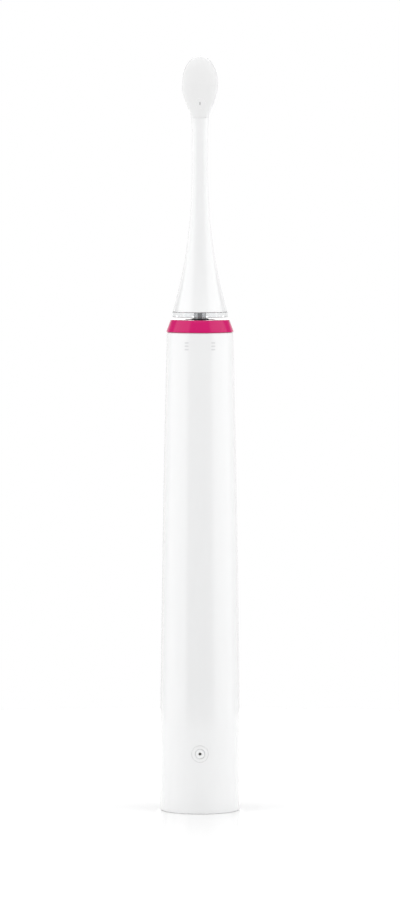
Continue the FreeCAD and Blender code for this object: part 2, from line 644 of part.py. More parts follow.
HUB_FOOT = f"({FRONT_BEARING} - clip_gap - hub_height)"
MAGNET_SIDE = "(magnet_split + magnet_width) / 2"
node(drive_shaft(), "drive_shaft")
node(ring("rotor_yoke", "shaft_radius", "yoke_radius", YOKE_FOOT, "yoke_height"), "rotor_yoke")
node(group(*[block("magnet_width", "magnet_depth", "magnet_height", f"{side}{MAGNET_SIDE}",
                   "-magnet_depth / 2", MAGNET_FOOT) for side in ("", "-")]), "rotor_magnets")
node(return_spring(), "return_spring")
node(ring("spring_hub", "shaft_radius", "hub_radius", HUB_FOOT, "hub_height"), "spring_hub")
CLIP_FEET = {"lower_clip": f"{REAR_BEARING} - clip_gap - clip_height",
             "upper_clip": f"{MOTOR_TOP} + clip_gap"}
node(group(*[ring(label, "shaft_radius", "clip_radius", foot, "clip_height")
             for label, foot in CLIP_FEET.items()]), "shaft_clips")


# ---- collar, gasket and seal at the top of the handle ----

SLEEVE_BORE = f"({BORE} - collar_sleeve_wall)"
SLEEVE_FOOT = "(handle_height - collar_sleeve)"
WEB_FOOT = f"({COLLAR_TOP} - collar_web)"
SEAL_BORE = "(shaft_radius + seal_gap)"
node(turned("accent_collar", [
    (SLEEVE_BORE, SLEEVE_FOOT), (BORE, SLEEVE_FOOT), (BORE, COLLAR_FOOT), ("collar_radius", COLLAR_FOOT),
    ("collar_top_radius", COLLAR_TOP), ("seal_radius", COLLAR_TOP), ("seal_radius", WEB_FOOT),
    (SLEEVE_BORE, WEB_FOOT),
]), "accent_collar")
node(ring("collar_gasket", BORE, "top_radius - gasket_inset - rim_chamfer", "handle_height", "gasket_thick"),
     "collar_gasket")
node(turned("shaft_seal", [
    (SEAL_BORE, WEB_FOOT), ("seal_radius", WEB_FOOT), ("seal_radius", COLLAR_TOP),
    ("seal_radius - 2 * seal_lip", f"{COLLAR_TOP} + seal_lip"), (SEAL_BORE, f"{COLLAR_TOP} + seal_lip"),
]), "shaft_seal")


# ---- brush head: ring, neck, soft back, coupling and tufts ----

def section(height, width, depth):
    """A level ellipse, wider than it is deep."""
    oval = bind(doc.addObject("Part::Ellipse", "section"), MajorRadius=width, MinorRadius=depth)
    return put(oval, "0", "0", height)


def flared(waist, power, share):
    """Half width or half depth of the neck at a share of the height over which it narrows."""
    return f"{waist} + (neck_radius - {waist}) * {1 - share:.2f} ^ {power}"


def neck_form():
    """The neck: it narrows from a round foot to a flat waist, then widens into the head."""
    sections = [section(f"{NECK_FOOT} + {share} * flare_length", flared("waist_width", "flare_power", share),
                        flared("waist_depth", "flare_depth_power", share))
                for share in (0, 0.12, 0.25, 0.4, 0.6, 0.8, 1)]
    for rise, spread in ((0, 0), (0.28, 0.12), (0.5, 0.44), (0.72, 0.82)):
        sections.append(section(f"{HEAD_MIDDLE} - shoulder * {1 - rise:.2f}",
                                f"waist_width + (head_width - waist_width) * {spread}",
                                f"waist_depth * {1 - 0.1 * rise:.3f}"))
    loft = doc.addObject("Part::Loft", "neck_form")
    loft.Sections = sections
    loft.Solid = True
    return loft


def head_form():
    """The head: an oval plate with a flat front and a domed back."""
    dome = bind(doc.addObject("Part::Ellipsoid", "dome"), Radius1="head_length", Radius2="head_width",
                Radius3="head_back")
    put(dome, "0", "0", HEAD_MIDDLE)
    behind = block(CLEAR, CLEAR, CLEAR, "0", f"-({CLEAR}) - plate_lap / 2", f"{HEAD_MIDDLE} - base_radius")
    oval = bind(doc.addObject("Part::Ellipse", "head_oval"), MajorRadius="head_length",
                MinorRadius="head_width")
    oval.Placement.Rotation = Rotation(Vector(0, 0, 1), Vector(1, 0, 0), Vector(0, 1, 0), "XYZ")
    put(oval, "0", "0", HEAD_MIDDLE)
    plate = doc.addObject("Part::Extrusion", "plate")
    plate.Base = oval
    plate.DirMode = "Custom"
    plate.Dir = Vector(0, 1, 0)
    plate.Solid = True
    return [common(dome, behind), bind(plate, LengthFwd="head_front", LengthRev="plate_lap")]


def tuft_places():
    """The middle of each tuft, with whether it is in the outer band."""
    pitch = worth("tuft_pitch")
    reach_across = worth("head_width - tuft_margin - tuft_radius")
    reach_up = worth("head_length - tuft_margin - tuft_radius")
    rows = range(-TUFT_ROWS, TUFT_ROWS + 1)
    for level in rows:
        for column in rows:
            share = column + (level % 2) / 2
            rise = level * 3 ** 0.5 / 2
            distance = ((share * pitch / reach_across) ** 2 + (rise * pitch / reach_up) ** 2) ** 0.5
            if distance <= 1:
                yield f"{share} * tuft_pitch", f"{HEAD_MIDDLE} + {rise:.4f} * tuft_pitch", distance > 0.62


def coupling_outline(bore):
    """The coupling's outer form above its foot, with or without its bore."""
    outer = [("coupling_flange", NECK_FOOT), ("coupling_flange", f"{NECK_FOOT} + coupling_flange_height"),
             ("coupling_radius", f"{NECK_FOOT} + coupling_flange_height"), ("coupling_radius", COUPLING_TOP),
             ("0", COUPLING_TOP)]
    if not bore:
        return [("0", NECK_FOOT)] + outer
    inner = "shaft_radius + coupling_gap"
    room = f"{SHAFT_TIP} + tip_gap"
    return [(inner, NECK_FOOT)] + outer + [("0", room), (inner, room)]


places = list(tuft_places())
tuft_holes = [rod("tuft_radius", "2 * head_front", across, f"{ROOT_END} - anchor_height", up, forward=True)
              for across, up, outer in places]
whole = fuse(neck_form(), *head_form())
pad_tool = rod("pad_seam", CLEAR, "0", f"-pad_depth - {CLEAR}", f"{HEAD_TOP} - pad_seam + pad_depth",
               forward=True)
node(cut(whole, pad_tool, turned("coupling_room", coupling_outline(False)), *tuft_holes), "brush_neck")
node(common(whole, pad_tool), "head_back_pad")
for band, label in ((True, "tufts_outer"), (False, "tufts_inner")):
    node(group(*[rod("tuft_radius", "tuft_root + tuft_length", across, ROOT_END, up, forward=True)
                 for across, up, outer in places if outer == band]), label)
node(group(*[block("2 * tuft_radius - 2 * anchor_thick", "anchor_height", "anchor_thick", across,
                   f"{ROOT_END} - anchor_height", f"{up} - anchor_thick / 2")
             for across, up, outer in places]), "tuft_anchors")

LEAF_FRONT = f"({FLAT} + coupling_gap)"
LEAF_FOOT = f"({FLAT_FOOT} + (shaft_flat_length - leaf_length) / 2)"
LEAF_TOP = f"({LEAF_FOOT} + leaf_length)"
LEAF_FACE = f"({LEAF_FRONT} + leaf_thick)"
coupling = turned("drive_coupling", coupling_outline(True))
slot(coupling, [("0", LEAF_FOOT), (LEAF_FACE, LEAF_FOOT), (LEAF_FACE, LEAF_TOP), ("0", LEAF_TOP)],
     "leaf_width")
node(coupling, "drive_coupling")
node(block("leaf_width", "leaf_thick", "leaf_length", "0", LEAF_FRONT, LEAF_FOOT), "coupling_leaf")
node(ring("clear_ring", "ring_bore", "ring_radius", RING_FOOT, "ring_height"), "clear_ring")


# ---- check everything, then write one file for each sub-part ----

doc.recompute()
for thing in doc.Objects:
    faults = {"Invalid", "Error"} & set(thing.State)
    if faults:
        raise RuntimeError(f"{thing.Label} failed: {thing.State}")
for thing in parts:
    if thing.Shape.isNull() or not thing.Shape.isValid() or not thing.Shape.Solids:
        raise RuntimeError(f"{thing.Label} has no sound solid")

os.makedirs("parts", exist_ok=True)
for thing in parts:
    thing.Shape.exportStep(f"parts/{thing.Label}.step")
print(len(parts), "sub-parts written")
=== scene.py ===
import math

import bmesh
import bpy
import numpy as np
from mathutils import Euler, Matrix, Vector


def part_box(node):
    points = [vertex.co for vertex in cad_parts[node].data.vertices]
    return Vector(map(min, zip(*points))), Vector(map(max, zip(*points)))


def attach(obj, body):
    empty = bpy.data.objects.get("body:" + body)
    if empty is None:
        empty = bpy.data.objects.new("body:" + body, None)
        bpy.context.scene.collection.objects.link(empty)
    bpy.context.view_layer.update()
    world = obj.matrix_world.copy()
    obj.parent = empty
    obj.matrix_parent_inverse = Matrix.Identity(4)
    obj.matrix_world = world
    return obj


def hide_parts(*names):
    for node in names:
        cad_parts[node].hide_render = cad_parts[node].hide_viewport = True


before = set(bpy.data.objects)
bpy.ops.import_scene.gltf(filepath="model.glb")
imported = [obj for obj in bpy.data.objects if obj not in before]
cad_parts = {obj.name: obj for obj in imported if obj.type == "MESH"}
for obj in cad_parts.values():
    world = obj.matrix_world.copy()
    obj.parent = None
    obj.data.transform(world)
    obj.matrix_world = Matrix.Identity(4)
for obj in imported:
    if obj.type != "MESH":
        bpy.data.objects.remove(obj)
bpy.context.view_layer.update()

bl_info = {
    "name": "Sonic toothbrush",
    "version": (1, 0, 0),
    "blender": (4, 5, 0),
    "location": "View3D > Sidebar > Toothbrush",
    "description": "Builds the visible pieces and finishes of a sonic toothbrush round its fixed frame",
    "category": "Object",
}

MM = 0.001
WHOLE_TURN = 2 * math.pi
CREASE = 35.0


# ---- sizes read from the frame, in millimetres ----

# a circle of vertices is full from this many, and two this near in height count as one
FULL_CIRCLE = 24
SAME_CIRCLE = 0.3


def low(node, axis):
    """Lowest coordinate of a frame node along an axis, in millimetres."""
    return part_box(node)[0]["xyz".index(axis)] / MM


def high(node, axis):
    """Highest coordinate of a frame node along an axis, in millimetres."""
    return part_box(node)[1]["xyz".index(axis)] / MM


def halfway(node, axis):
    """Middle of a frame node along an axis, in millimetres."""
    return (low(node, axis) + high(node, axis)) / 2


def vertices_of(node):
    """The vertices of a frame node, in millimetres."""
    return np.array([tuple(vertex.co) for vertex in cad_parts[node].data.vertices]) / MM


def circles_of(node):
    """Height and radius of every full circle of vertices in a turned frame node, lowest first."""
    places = vertices_of(node)
    rounded = np.round(np.column_stack((places[:, 2], np.hypot(places[:, 0], places[:, 1]))), 2)
    pairs, counts = np.unique(rounded, axis=0, return_counts=True)
    return pairs[counts >= FULL_CIRCLE]


def smooth_through(stations, heights):
    """Values of a smooth curve through (height, value) stations, at the given heights."""
    spots, values = np.array(sorted(stations)).T
    steps = np.diff(values) / np.diff(spots)
    slopes = np.concatenate(([steps[0]], (steps[:-1] + steps[1:]) / 2, [steps[-1]]))
    slopes[1:-1] = np.where(steps[:-1] * steps[1:] <= 0, 0, slopes[1:-1])
    index = np.clip(np.searchsorted(spots, heights, side="right") - 1, 0, len(spots) - 2)
    width = spots[index + 1] - spots[index]
    share = (np.asarray(heights) - spots[index]) / width
    square, cube = share ** 2, share ** 3
    level = values[index] * (2 * cube - 3 * square + 1) + values[index + 1] * (3 * square - 2 * cube)
    bend = slopes[index] * (cube - 2 * square + share) + slopes[index + 1] * (cube - square)
    return level + bend * width


RIM = high("handle_shell", "z")
BORE = high("front_damper", "x")
SHELL_CIRCLES = circles_of("handle_shell")
# heights where the handle's side changes its slope
SLOPE_CHANGES = (0.6, 42.0, 83.0, 122.0, RIM - 0.25)


def outer_circle(height):
    """The widest full circle of the handle's shell near a height, as (height, radius)."""
    near = SHELL_CIRCLES[np.abs(SHELL_CIRCLES[:, 0] - height) < SAME_CIRCLE]
    return tuple(near[np.argmax(near[:, 1])])


SIDE = [outer_circle(height) for height in SLOPE_CHANGES]


def shell_radius(height):
    """Outer radius of the handle at a height."""
    return smooth_through(SIDE, height)


# ---- the user's sizes and colours ----

def colour_property(name, description, default):
    """A colour with its default."""
    return bpy.props.FloatVectorProperty(name=name, description=description, default=default,
                                         subtype="COLOR", size=3, min=0.0, max=1.0)


def size_property(name, description, default):
    """A size in millimetres."""
    return bpy.props.FloatProperty(name=name, description=description, default=default, min=0.0)


def length_property(name, description, default):
    """A length in the scene's own unit."""
    return bpy.props.FloatProperty(name=name, description=description, default=default, min=0.0,
                                   unit="LENGTH")


def light_property(name, description, default):
    """A brightness."""
    return bpy.props.FloatProperty(name=name, description=description, default=default, min=0.0)


def count_property(name, description, default, least):
    """A whole number."""
    return bpy.props.IntProperty(name=name, description=description, default=default, min=least)


class BrushColours(bpy.types.PropertyGroup):
    """Colours of the toothbrush's finishes."""

    white: colour_property("White", "Gloss white of the handle and the neck", (0.875, 0.878, 0.88))
    soft_white: colour_property("Soft white", "Matt white of the head's back and the button",
                                (0.82, 0.82, 0.82))
    accent: colour_property("Accent", "Collar and button ring", (0.60, 0.003, 0.137))
    bristle: colour_property("Bristle", "Outer tufts", (0.86, 0.86, 0.85))
    bristle_accent: colour_property("Accent bristle", "Inner tufts", (0.72, 0.10, 0.27))
    seal: colour_property("Seal", "Rubber seal round the shaft", (0.16, 0.16, 0.165))


class BrushDetail(bpy.types.PropertyGroup):
    """Sizes of the details, in millimetres."""

    segments: count_property("Segments", "Facets round the handle", 192, 24)
    mark_height: size_property("Mark height", "Middle of the two marks below the rim", 154.5)
    mark_spread: size_property("Mark spread", "Marks, from the middle line", 4.4)
    mark_width: size_property("Mark width", "Length of a mark's bars", 1.3)
    mark_pitch: size_property("Mark pitch", "Spacing of a mark's bars", 1.1)
    waist_width: size_property("Waist width", "Half width of the neck where it is slimmest", 2.68)
    waist_depth: size_property("Waist depth", "Half depth of the neck where it is slimmest", 1.85)
    flare_length: size_property("Flare length", "Height over which the neck narrows", 50.0)
    head_half_width: size_property("Head half width", "Half width of the oval head", 6.0)
    head_half_length: size_property("Head half length", "Half length of the oval head", 9.4)
    filaments: count_property("Filaments", "Filaments in a tuft", 38, 3)
    filament_radius: size_property("Filament radius", "Radius of a filament", 0.085)


class StudioSetup(bpy.types.PropertyGroup):
    """Camera, floor and light."""

    distance: length_property("Distance", "Camera to the handle's axis", 1.7)
    eye_height: length_property("Eye height", "Camera above the floor", 0.225)
    pitch: bpy.props.FloatProperty(name="Pitch", description="How far the camera looks down",
                                   default=math.radians(3.612), subtype="ANGLE")
    lens: size_property("Lens", "Focal length", 203.0)
    strip_light: light_property("Strip light", "Brightness of the side softboxes", 1.29)
    front_light: light_property("Front light", "Brightness behind the camera", 0.46)
    side_light: light_property("Side light", "Brightness behind the softboxes", 0.85)
    fill_light: light_property("Fill light", "Brightness above and below the side light", 0.22)
    back_light: light_property("Back light", "Brightness low down straight behind", 2.6)
    top_light: light_property("Top light", "Brightness overhead", 1.8)
    low_light: light_property("Low light", "Brightness from below the floor's edge", 1.3)
    floor_white: light_property("Floor white", "How pale the floor is, from 0 to 1", 0.9)
    floor_reach: length_property("Floor", "Radius of the floor", 0.3)
    floor_opening: length_property("Opening", "Radius of the floor's opening under the foot", 0.0119)
    shine_reach: length_property("Shine", "Reach of the shine round the foot", 0.165)


# ---- node helpers: materials and shader groups ----

def node_in(tree, kind, **settings):
    """A new node with its settings."""
    made = tree.nodes.new(kind)
    for key, value in settings.items():
        setattr(made, key, value)
    return made


def link(tree, source, target):
    """Join an output to an input."""
    tree.links.new(source, target)


def feed(tree, source, target):
    """Give an input a number, or join an output to it."""
    if isinstance(source, (int, float)):
        target.default_value = source
    else:
        link(tree, source, target)


def shader_group(name, inputs, outputs):
    """A new shader node group; inputs are (name, kind, default) and outputs are (name, kind)."""
    tree = bpy.data.node_groups.new(name, "ShaderNodeTree")
    for title, kind, default in inputs:
        socket = tree.interface.new_socket(title, in_out="INPUT", socket_type=f"NodeSocket{kind}")
        socket.default_value = default
    for title, kind in outputs:
        tree.interface.new_socket(title, in_out="OUTPUT", socket_type=f"NodeSocket{kind}")
    return tree, tree.nodes.new("NodeGroupInput"), tree.nodes.new("NodeGroupOutput")


def math_in(tree, operation, first, second=0):
    """A maths node of one or two values, each a socket or a number."""
    made = node_in(tree, "ShaderNodeMath", operation=operation)
    feed(tree, first, made.inputs[0])
    feed(tree, second, made.inputs[1])
    return made.outputs[0]


def ramp_in(tree, value, start, end, first=0.0, last=1.0):
    """A smooth step from first to last while a value goes from start to end."""
    made = node_in(tree, "ShaderNodeMapRange", interpolation_type="SMOOTHSTEP")
    link(tree, value, made.inputs["Value"])
    for title, limit in (("From Min", start), ("From Max", end), ("To Min", first), ("To Max", last)):
        made.inputs[title].default_value = limit
    return made.outputs["Result"]


def mix_in(tree, share, first, second):
    """A mix of two values, each a socket or a number."""
    made = node_in(tree, "ShaderNodeMix", data_type="FLOAT")
    link(tree, share, made.inputs["Factor"])
    feed(tree, first, made.inputs[2])
    feed(tree, second, made.inputs[3])
    return made.outputs[0]


def blend_in(tree, share, first, second):
    """A mix of two shaders."""
    made = tree.nodes.new("ShaderNodeMixShader")
    for source, target in zip((share, first, second), made.inputs):
        link(tree, source, target)
    return made.outputs[0]


def parts_in(tree, vector):
    """The X, Y and Z outputs of a vector."""
    split = tree.nodes.new("ShaderNodeSeparateXYZ")
    link(tree, vector, split.inputs[0])
    return split.outputs


def vector_in(tree, **parts):
    """A vector with some of its X, Y and Z given."""
    made = tree.nodes.new("ShaderNodeCombineXYZ")
    for axis, value in parts.items():
        feed(tree, value, made.inputs[axis])
    return made.outputs[0]


def noise_in(tree, scale, detail, roughness=0.5):
    """Noise on the object's own coordinates; scale is a socket or a number."""
    place = tree.nodes.new("ShaderNodeTexCoord")
    noise = tree.nodes.new("ShaderNodeTexNoise")
    noise.inputs["Detail"].default_value = detail
    noise.inputs["Roughness"].default_value = roughness
    link(tree, place.outputs["Object"], noise.inputs["Vector"])
    feed(tree, scale, noise.inputs["Scale"])
    return noise.outputs["Fac"]


def shade_in(tree, colour, amount, pattern):
    """A colour made darker and lighter by a pattern round one half."""
    gain = math_in(tree, "MULTIPLY_ADD", math_in(tree, "SUBTRACT", pattern, 0.5), amount)
    gain.node.inputs[2].default_value = 1.0
    scaled = node_in(tree, "ShaderNodeVectorMath", operation="SCALE")
    link(tree, colour, scaled.inputs[0])
    link(tree, gain, scaled.inputs["Scale"])
    return scaled.outputs[0]


def uneven_gloss(tree, given, pattern, out):
    """Roughness that a pattern spreads round its middle value."""
    spread = math_in(tree, "MULTIPLY", math_in(tree, "SUBTRACT", pattern, 0.5), given.outputs["Spread"])
    link(tree, math_in(tree, "ADD", given.outputs["Roughness"], spread), out.inputs["Roughness"])


def moulded_group():
    """Moulded plastic: uneven gloss, faint clouding and a fine grain."""
    tree, given, out = shader_group("moulded_surface", [
        ("Colour", "Color", (0.8, 0.8, 0.8, 1)), ("Clouding", "Float", 0.02), ("Roughness", "Float", 0.3),
        ("Spread", "Float", 0.08), ("Grain", "Float", 4000.0),
    ], [("Colour", "Color"), ("Roughness", "Float"), ("Height", "Float")])
    clouded = shade_in(tree, given.outputs["Colour"], given.outputs["Clouding"], noise_in(tree, 60.0, 3.0))
    link(tree, clouded, out.inputs["Colour"])
    uneven_gloss(tree, given, noise_in(tree, 350.0, 6.0, 0.65), out)
    link(tree, noise_in(tree, given.outputs["Grain"], 2.0), out.inputs["Height"])
    return tree


def turned_group():
    """Turned metal: fine rings round the upright axis and uneven polish."""
    tree, given, out = shader_group("turned_metal", [
        ("Colour", "Color", (0.6, 0.6, 0.6, 1)), ("Tarnish", "Float", 0.1), ("Roughness", "Float", 0.2),
        ("Spread", "Float", 0.1), ("Rings", "Float", 9000.0),
    ], [("Colour", "Color"), ("Roughness", "Float"), ("Height", "Float")])
    stained = shade_in(tree, given.outputs["Colour"], given.outputs["Tarnish"], noise_in(tree, 180.0, 5.0))
    link(tree, stained, out.inputs["Colour"])
    place = tree.nodes.new("ShaderNodeTexCoord")
    ring = node_in(tree, "ShaderNodeTexNoise", noise_dimensions="1D")
    ring.inputs["Detail"].default_value = 4.0
    link(tree, parts_in(tree, place.outputs["Object"])["Z"], ring.inputs["W"])
    link(tree, given.outputs["Rings"], ring.inputs["Scale"])
    uneven_gloss(tree, given, ring.outputs["Fac"], out)
    link(tree, ring.outputs["Fac"], out.inputs["Height"])
    return tree


# the shared groups and the finishes that are already made, by name
GROUPS = {}
MATERIALS = {}
GRAIN_DEPTH = 0.02 * MM


def new_material(name):
    """A new material with nodes, and its tree."""
    material = bpy.data.materials.new(name)
    material.use_nodes = True
    return material, material.node_tree


def finished(name, group, values, bump, **shader):
    """A material whose Principled shader takes colour, gloss and bump from a shared group."""
    if name in MATERIALS:
        return MATERIALS[name]
    material, tree = new_material(name)
    principled = tree.nodes["Principled BSDF"]
    placed = node_in(tree, "ShaderNodeGroup", node_tree=GROUPS[group])
    for key, value in values.items():
        placed.inputs[key].default_value = tuple(value) + (1.0,) if key == "Colour" else value
    link(tree, placed.outputs["Colour"], principled.inputs["Base Color"])
    link(tree, placed.outputs["Roughness"], principled.inputs["Roughness"])
    relief = tree.nodes.new("ShaderNodeBump")
    relief.inputs["Strength"].default_value = bump
    relief.inputs["Distance"].default_value = GRAIN_DEPTH
    link(tree, placed.outputs["Height"], relief.inputs["Height"])
    link(tree, relief.outputs["Normal"], principled.inputs["Normal"])
    for key, value in shader.items():
        principled.inputs[key.replace("_", " ")].default_value = value
    MATERIALS[name] = material
    return material


def plastic(name, colour, roughness, spread=0.06, grain=4000.0, bump=0.15, clouding=0.03, **shader):
    """A moulded plastic."""
    values = {"Colour": colour, "Roughness": roughness, "Spread": spread, "Grain": grain,
              "Clouding": clouding}
    return finished(name, "moulded", values, bump, **shader)


def metal(name, colour, roughness, tarnish=0.12, rings=9000.0, bump=0.1):
    """A turned metal."""
    values = {"Colour": colour, "Roughness": roughness, "Spread": 0.12, "Rings": rings, "Tarnish": tarnish}
    return finished(name, "turned", values, bump, Metallic=1.0)


def clear_material():
    """Clear moulded plastic."""
    if "clear_plastic" in MATERIALS:
        return MATERIALS["clear_plastic"]
    material, tree = new_material("clear_plastic")
    principled = tree.nodes["Principled BSDF"]
    principled.inputs["Base Color"].default_value = (0.97, 0.98, 0.985, 1)
    principled.inputs["Transmission Weight"].default_value = 1.0
    principled.inputs["IOR"].default_value = 1.49
    gloss = math_in(tree, "MULTIPLY", noise_in(tree, 500.0, 4.0), 0.06)
    link(tree, gloss, principled.inputs["Roughness"])
    MATERIALS["clear_plastic"] = material
    return material


def set_material(thing, material):
    """Give an object one material."""
    thing.data.materials.clear()
    thing.data.materials.append(material)


# ---- mesh helpers ----

# vertices nearer than this are merged, and a ring slimmer than this is a pole
SAME_SPOT = 1e-7
POLE = 1e-6


def turns_of(count):
    """Angles of evenly spaced points round a circle."""
    return np.arange(count) * WHOLE_TURN / count


def smoothed(mesh, crease):
    """Shade a mesh smooth, but sharp where faces meet at more than an angle in degrees."""
    mesh.shade_smooth()
    mesh.set_sharp_from_angle(angle=math.radians(crease))


def object_from(name, points, faces, crease=CREASE):
    """A smooth-shaded object from points in millimetres."""
    mesh = bpy.data.meshes.new(name)
    mesh.from_pydata([tuple(point) for point in np.asarray(points) * MM], [], faces)
    tidy = bmesh.new()
    tidy.from_mesh(mesh)
    bmesh.ops.remove_doubles(tidy, verts=tidy.verts, dist=SAME_SPOT)
    bmesh.ops.recalc_face_normals(tidy, faces=tidy.faces)
    tidy.to_mesh(mesh)
    tidy.free()
    smoothed(mesh, crease)
    thing = bpy.data.objects.new(name, mesh)
    bpy.context.scene.collection.objects.link(thing)
    return thing


def rings_to_faces(ring_sizes, closed):
    """Faces between rings of vertices, where a ring of one is a pole. closed joins the last to the first."""
    starts = np.concatenate(([0], np.cumsum(ring_sizes)[:-1]))
    faces = []
    pairs = list(zip(range(len(ring_sizes) - 1), range(1, len(ring_sizes))))
    if closed:
        pairs.append((len(ring_sizes) - 1, 0))
    for one, two in pairs:
        first, second = int(starts[one]), int(starts[two])
        count = max(ring_sizes[one], ring_sizes[two])
        if count == 1:
            continue
        for step in range(count):
            after = (step + 1) % count
            if ring_sizes[one] == 1:
                faces.append((first, second + step, second + after))
            elif ring_sizes[two] == 1:
                faces.append((first + after, first + step, second))
            else:
                faces.append((first + step, second + step, second + after, first + after))
    return faces


def shape_from(name, rings, crease=CREASE):
    """A closed object from rings of points, which ends in poles or joins its last ring to its first."""
    sizes = [len(ring) for ring in rings]
    points = [point for ring in rings for point in ring]
    return object_from(name, points, rings_to_faces(sizes, closed=max(sizes[0], sizes[-1]) > 1), crease)


def level_ring(radius, height, turn):
    """A level circle of points about the upright axis, or its middle where the radius is 0."""
    if radius < POLE:
        return [(0, 0, height)]
    return list(zip(radius * np.cos(turn), radius * np.sin(turn), np.full(len(turn), height)))


def softened(corners, steps=5):
    """An outline whose corners (across, up, radius) are rounded where the radius is not 0."""
    points = []
    count = len(corners)
    for index, (across, up, radius) in enumerate(corners):
        here = np.array((across, up))
        if not radius:
            points.append(tuple(here))
            continue
        before = np.array(corners[index - 1][:2]) - here
        after = np.array(corners[(index + 1) % count][:2]) - here
        before /= np.linalg.norm(before)
        after /= np.linalg.norm(after)
        for share in np.linspace(0, 1, steps + 1):
            pull = (1 - share) ** 2 * before + share ** 2 * after
            points.append(tuple(here + pull * radius))
    return points


def lathe(name, corners, segments=128, crease=CREASE):
    """A closed outline of (radius, height, rounding) turned about the upright axis."""
    turn = turns_of(segments)
    rings = [level_ring(radius, height, turn) for radius, height in softened(corners)]
    return shape_from(name, rings, crease)


def on_shell(across, up, rise, front):
    """A place on the handle's surface, rise above it; front is 1 for the front and -1 for the back."""
    depth = np.sqrt(shell_radius(up) ** 2 - across ** 2) + rise
    return np.column_stack((across, front * depth, up))


def boss_on_shell(name, corners, middle, front, power=2.0, stretch=1.0, shift=0.0, segments=96, flat=()):
    """A closed outline of (distance, rise, rounding) turned about a line through the shell, following its
    curve. power above 2 squares the shape up, stretch makes it taller than wide, shift moves it across.
    flat adds circles of (radius, depth) that are level, below the curved ones."""
    outline = softened(corners)
    turn = turns_of(segments)
    wide = np.sign(np.cos(turn)) * np.abs(np.cos(turn)) ** (2 / power)
    tall = np.sign(np.sin(turn)) * np.abs(np.sin(turn)) ** (2 / power)
    rings = []
    edge = max(distance for distance, rise in outline)
    for distance, rise in outline:
        if distance < POLE:
            rings.append(on_shell(np.array([shift]), np.array([middle]), rise, front))
            continue
        reach_up = edge * stretch - (edge - distance)
        rings.append(on_shell(shift + distance * wide, middle + reach_up * tall, rise, front))
    for reach, depth in flat:
        if not reach:
            rings.append([(shift, front * depth, middle)])
            continue
        level = np.full(segments, front * depth)
        rings.append(list(zip(shift + reach * wide, level, middle + reach * tall)))
    return shape_from(name, rings)


def cutter(radius, start, end, height, segments=96):
    """A plain cylinder along Y, for cutting a hole. Half a step's turn keeps its corners off the work's."""
    turn = (np.arange(segments) + 0.5) * WHOLE_TURN / segments
    across, up = radius * np.cos(turn), height + radius * np.sin(turn)
    near, far = (list(zip(across, np.full(segments, depth), up)) for depth in (start, end))
    return shape_from("cutter", [[(0, start, height)], near, far, [(0, end, height)]])


def settled(thing, crease=CREASE):
    """Turn an object's modifiers into plain mesh."""
    graph = bpy.context.evaluated_depsgraph_get()
    mesh = bpy.data.meshes.new_from_object(thing.evaluated_get(graph))
    thing.modifiers.clear()
    thing.data = mesh
    smoothed(mesh, crease)


def combined(thing, other, operation):
    """Apply a boolean with another object and remove that object."""
    change = thing.modifiers.new("shape", "BOOLEAN")
    change.operation = operation
    change.solver = "EXACT"
    change.object = other
    settled(thing)
    bpy.data.objects.remove(other)


def settle_piece(thing, material, body, replaced=()):
    """Give a finished piece its material, its body and the frame nodes that it stands for."""
    set_material(thing, material)
    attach(thing, body)
    if replaced:
        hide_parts(*replaced)


# ---- finishes ----

def gloss_white():
    """Polished white moulding of the handle and the neck."""
    colour = bpy.context.scene.brush_colours.white
    return plastic("gloss_white", colour, 0.22, 0.05, 2500.0, 0.05, 0.008, Coat_Weight=1.0,
                   Coat_Roughness=0.05)


def soft_white():
    """Matt soft-touch white."""
    return plastic("soft_white", bpy.context.scene.brush_colours.soft_white, 0.6, 0.08, 6000.0, 0.3, 0.012)


def accent_gloss():
    """Glossy accent colour."""
    colour = bpy.context.scene.brush_colours.accent
    return plastic("accent_gloss", colour, 0.14, 0.05, 2500.0, 0.05, 0.05, Specular_IOR_Level=0.38)


def seal_rubber():
    """Matt grey rubber."""
    return plastic("seal_rubber", bpy.context.scene.brush_colours.seal, 0.6, 0.15, 7000.0, 0.4, 0.15)


# ---- pieces ----

class MakeGroups(bpy.types.Operator):
    """Build the shader groups that the finishes share"""

    bl_idname = "toothbrush.groups"
    bl_label = "Shared finishes"

    def execute(self, context):
        GROUPS["moulded"] = moulded_group()
        GROUPS["turned"] = turned_group()
        return {"FINISHED"}


class MakeShell(bpy.types.Operator):
    """Turn the handle's shell and cut its holes"""

    bl_idname = "toothbrush.shell"
    bl_label = "Handle shell"

    def execute(self, context):
        clearance = 0.02
        heights = np.linspace(SIDE[0][0] + 0.6, SIDE[-1][0] - 0.4, 90)
        side = [(float(shell_radius(height)), float(height), 0) for height in heights]
        foot, rim = SIDE[0][1], SIDE[-1][1]
        cavity, knee = high("base_seal", "x"), 34.0
        ledge = low("motor_can", "z") - 1.0
        corners = [(cavity, 0, 0.2), (foot, 0, 0.4)] + side
        corners += [(rim, RIM, 0.32), (BORE, RIM, 0.1), (BORE, ledge, 0), (BORE + 1, ledge, 0),
                    (cavity, knee, 0)]
        shell = lathe("handle_shell_moulding", corners, context.scene.brush_detail.segments, crease=32)
        beyond = high("handle_shell", "x") + 1
        button, port = halfway("power_button", "z"), halfway("port_bezel", "z")
        combined(shell, cutter(high("button_bezel", "x") + 2 * clearance, 0, beyond, button), "DIFFERENCE")
        combined(shell, cutter(high("port_bezel", "x") + clearance, -beyond, 0, port), "DIFFERENCE")
        for middle in light_middles():
            hole = cutter(high("light_pipes", "x") + 1.5 * clearance, 0, beyond, middle, 32)
            combined(shell, hole, "DIFFERENCE")
        settle_piece(shell, gloss_white(), "handle", ["handle_shell"])
        return {"FINISHED"}


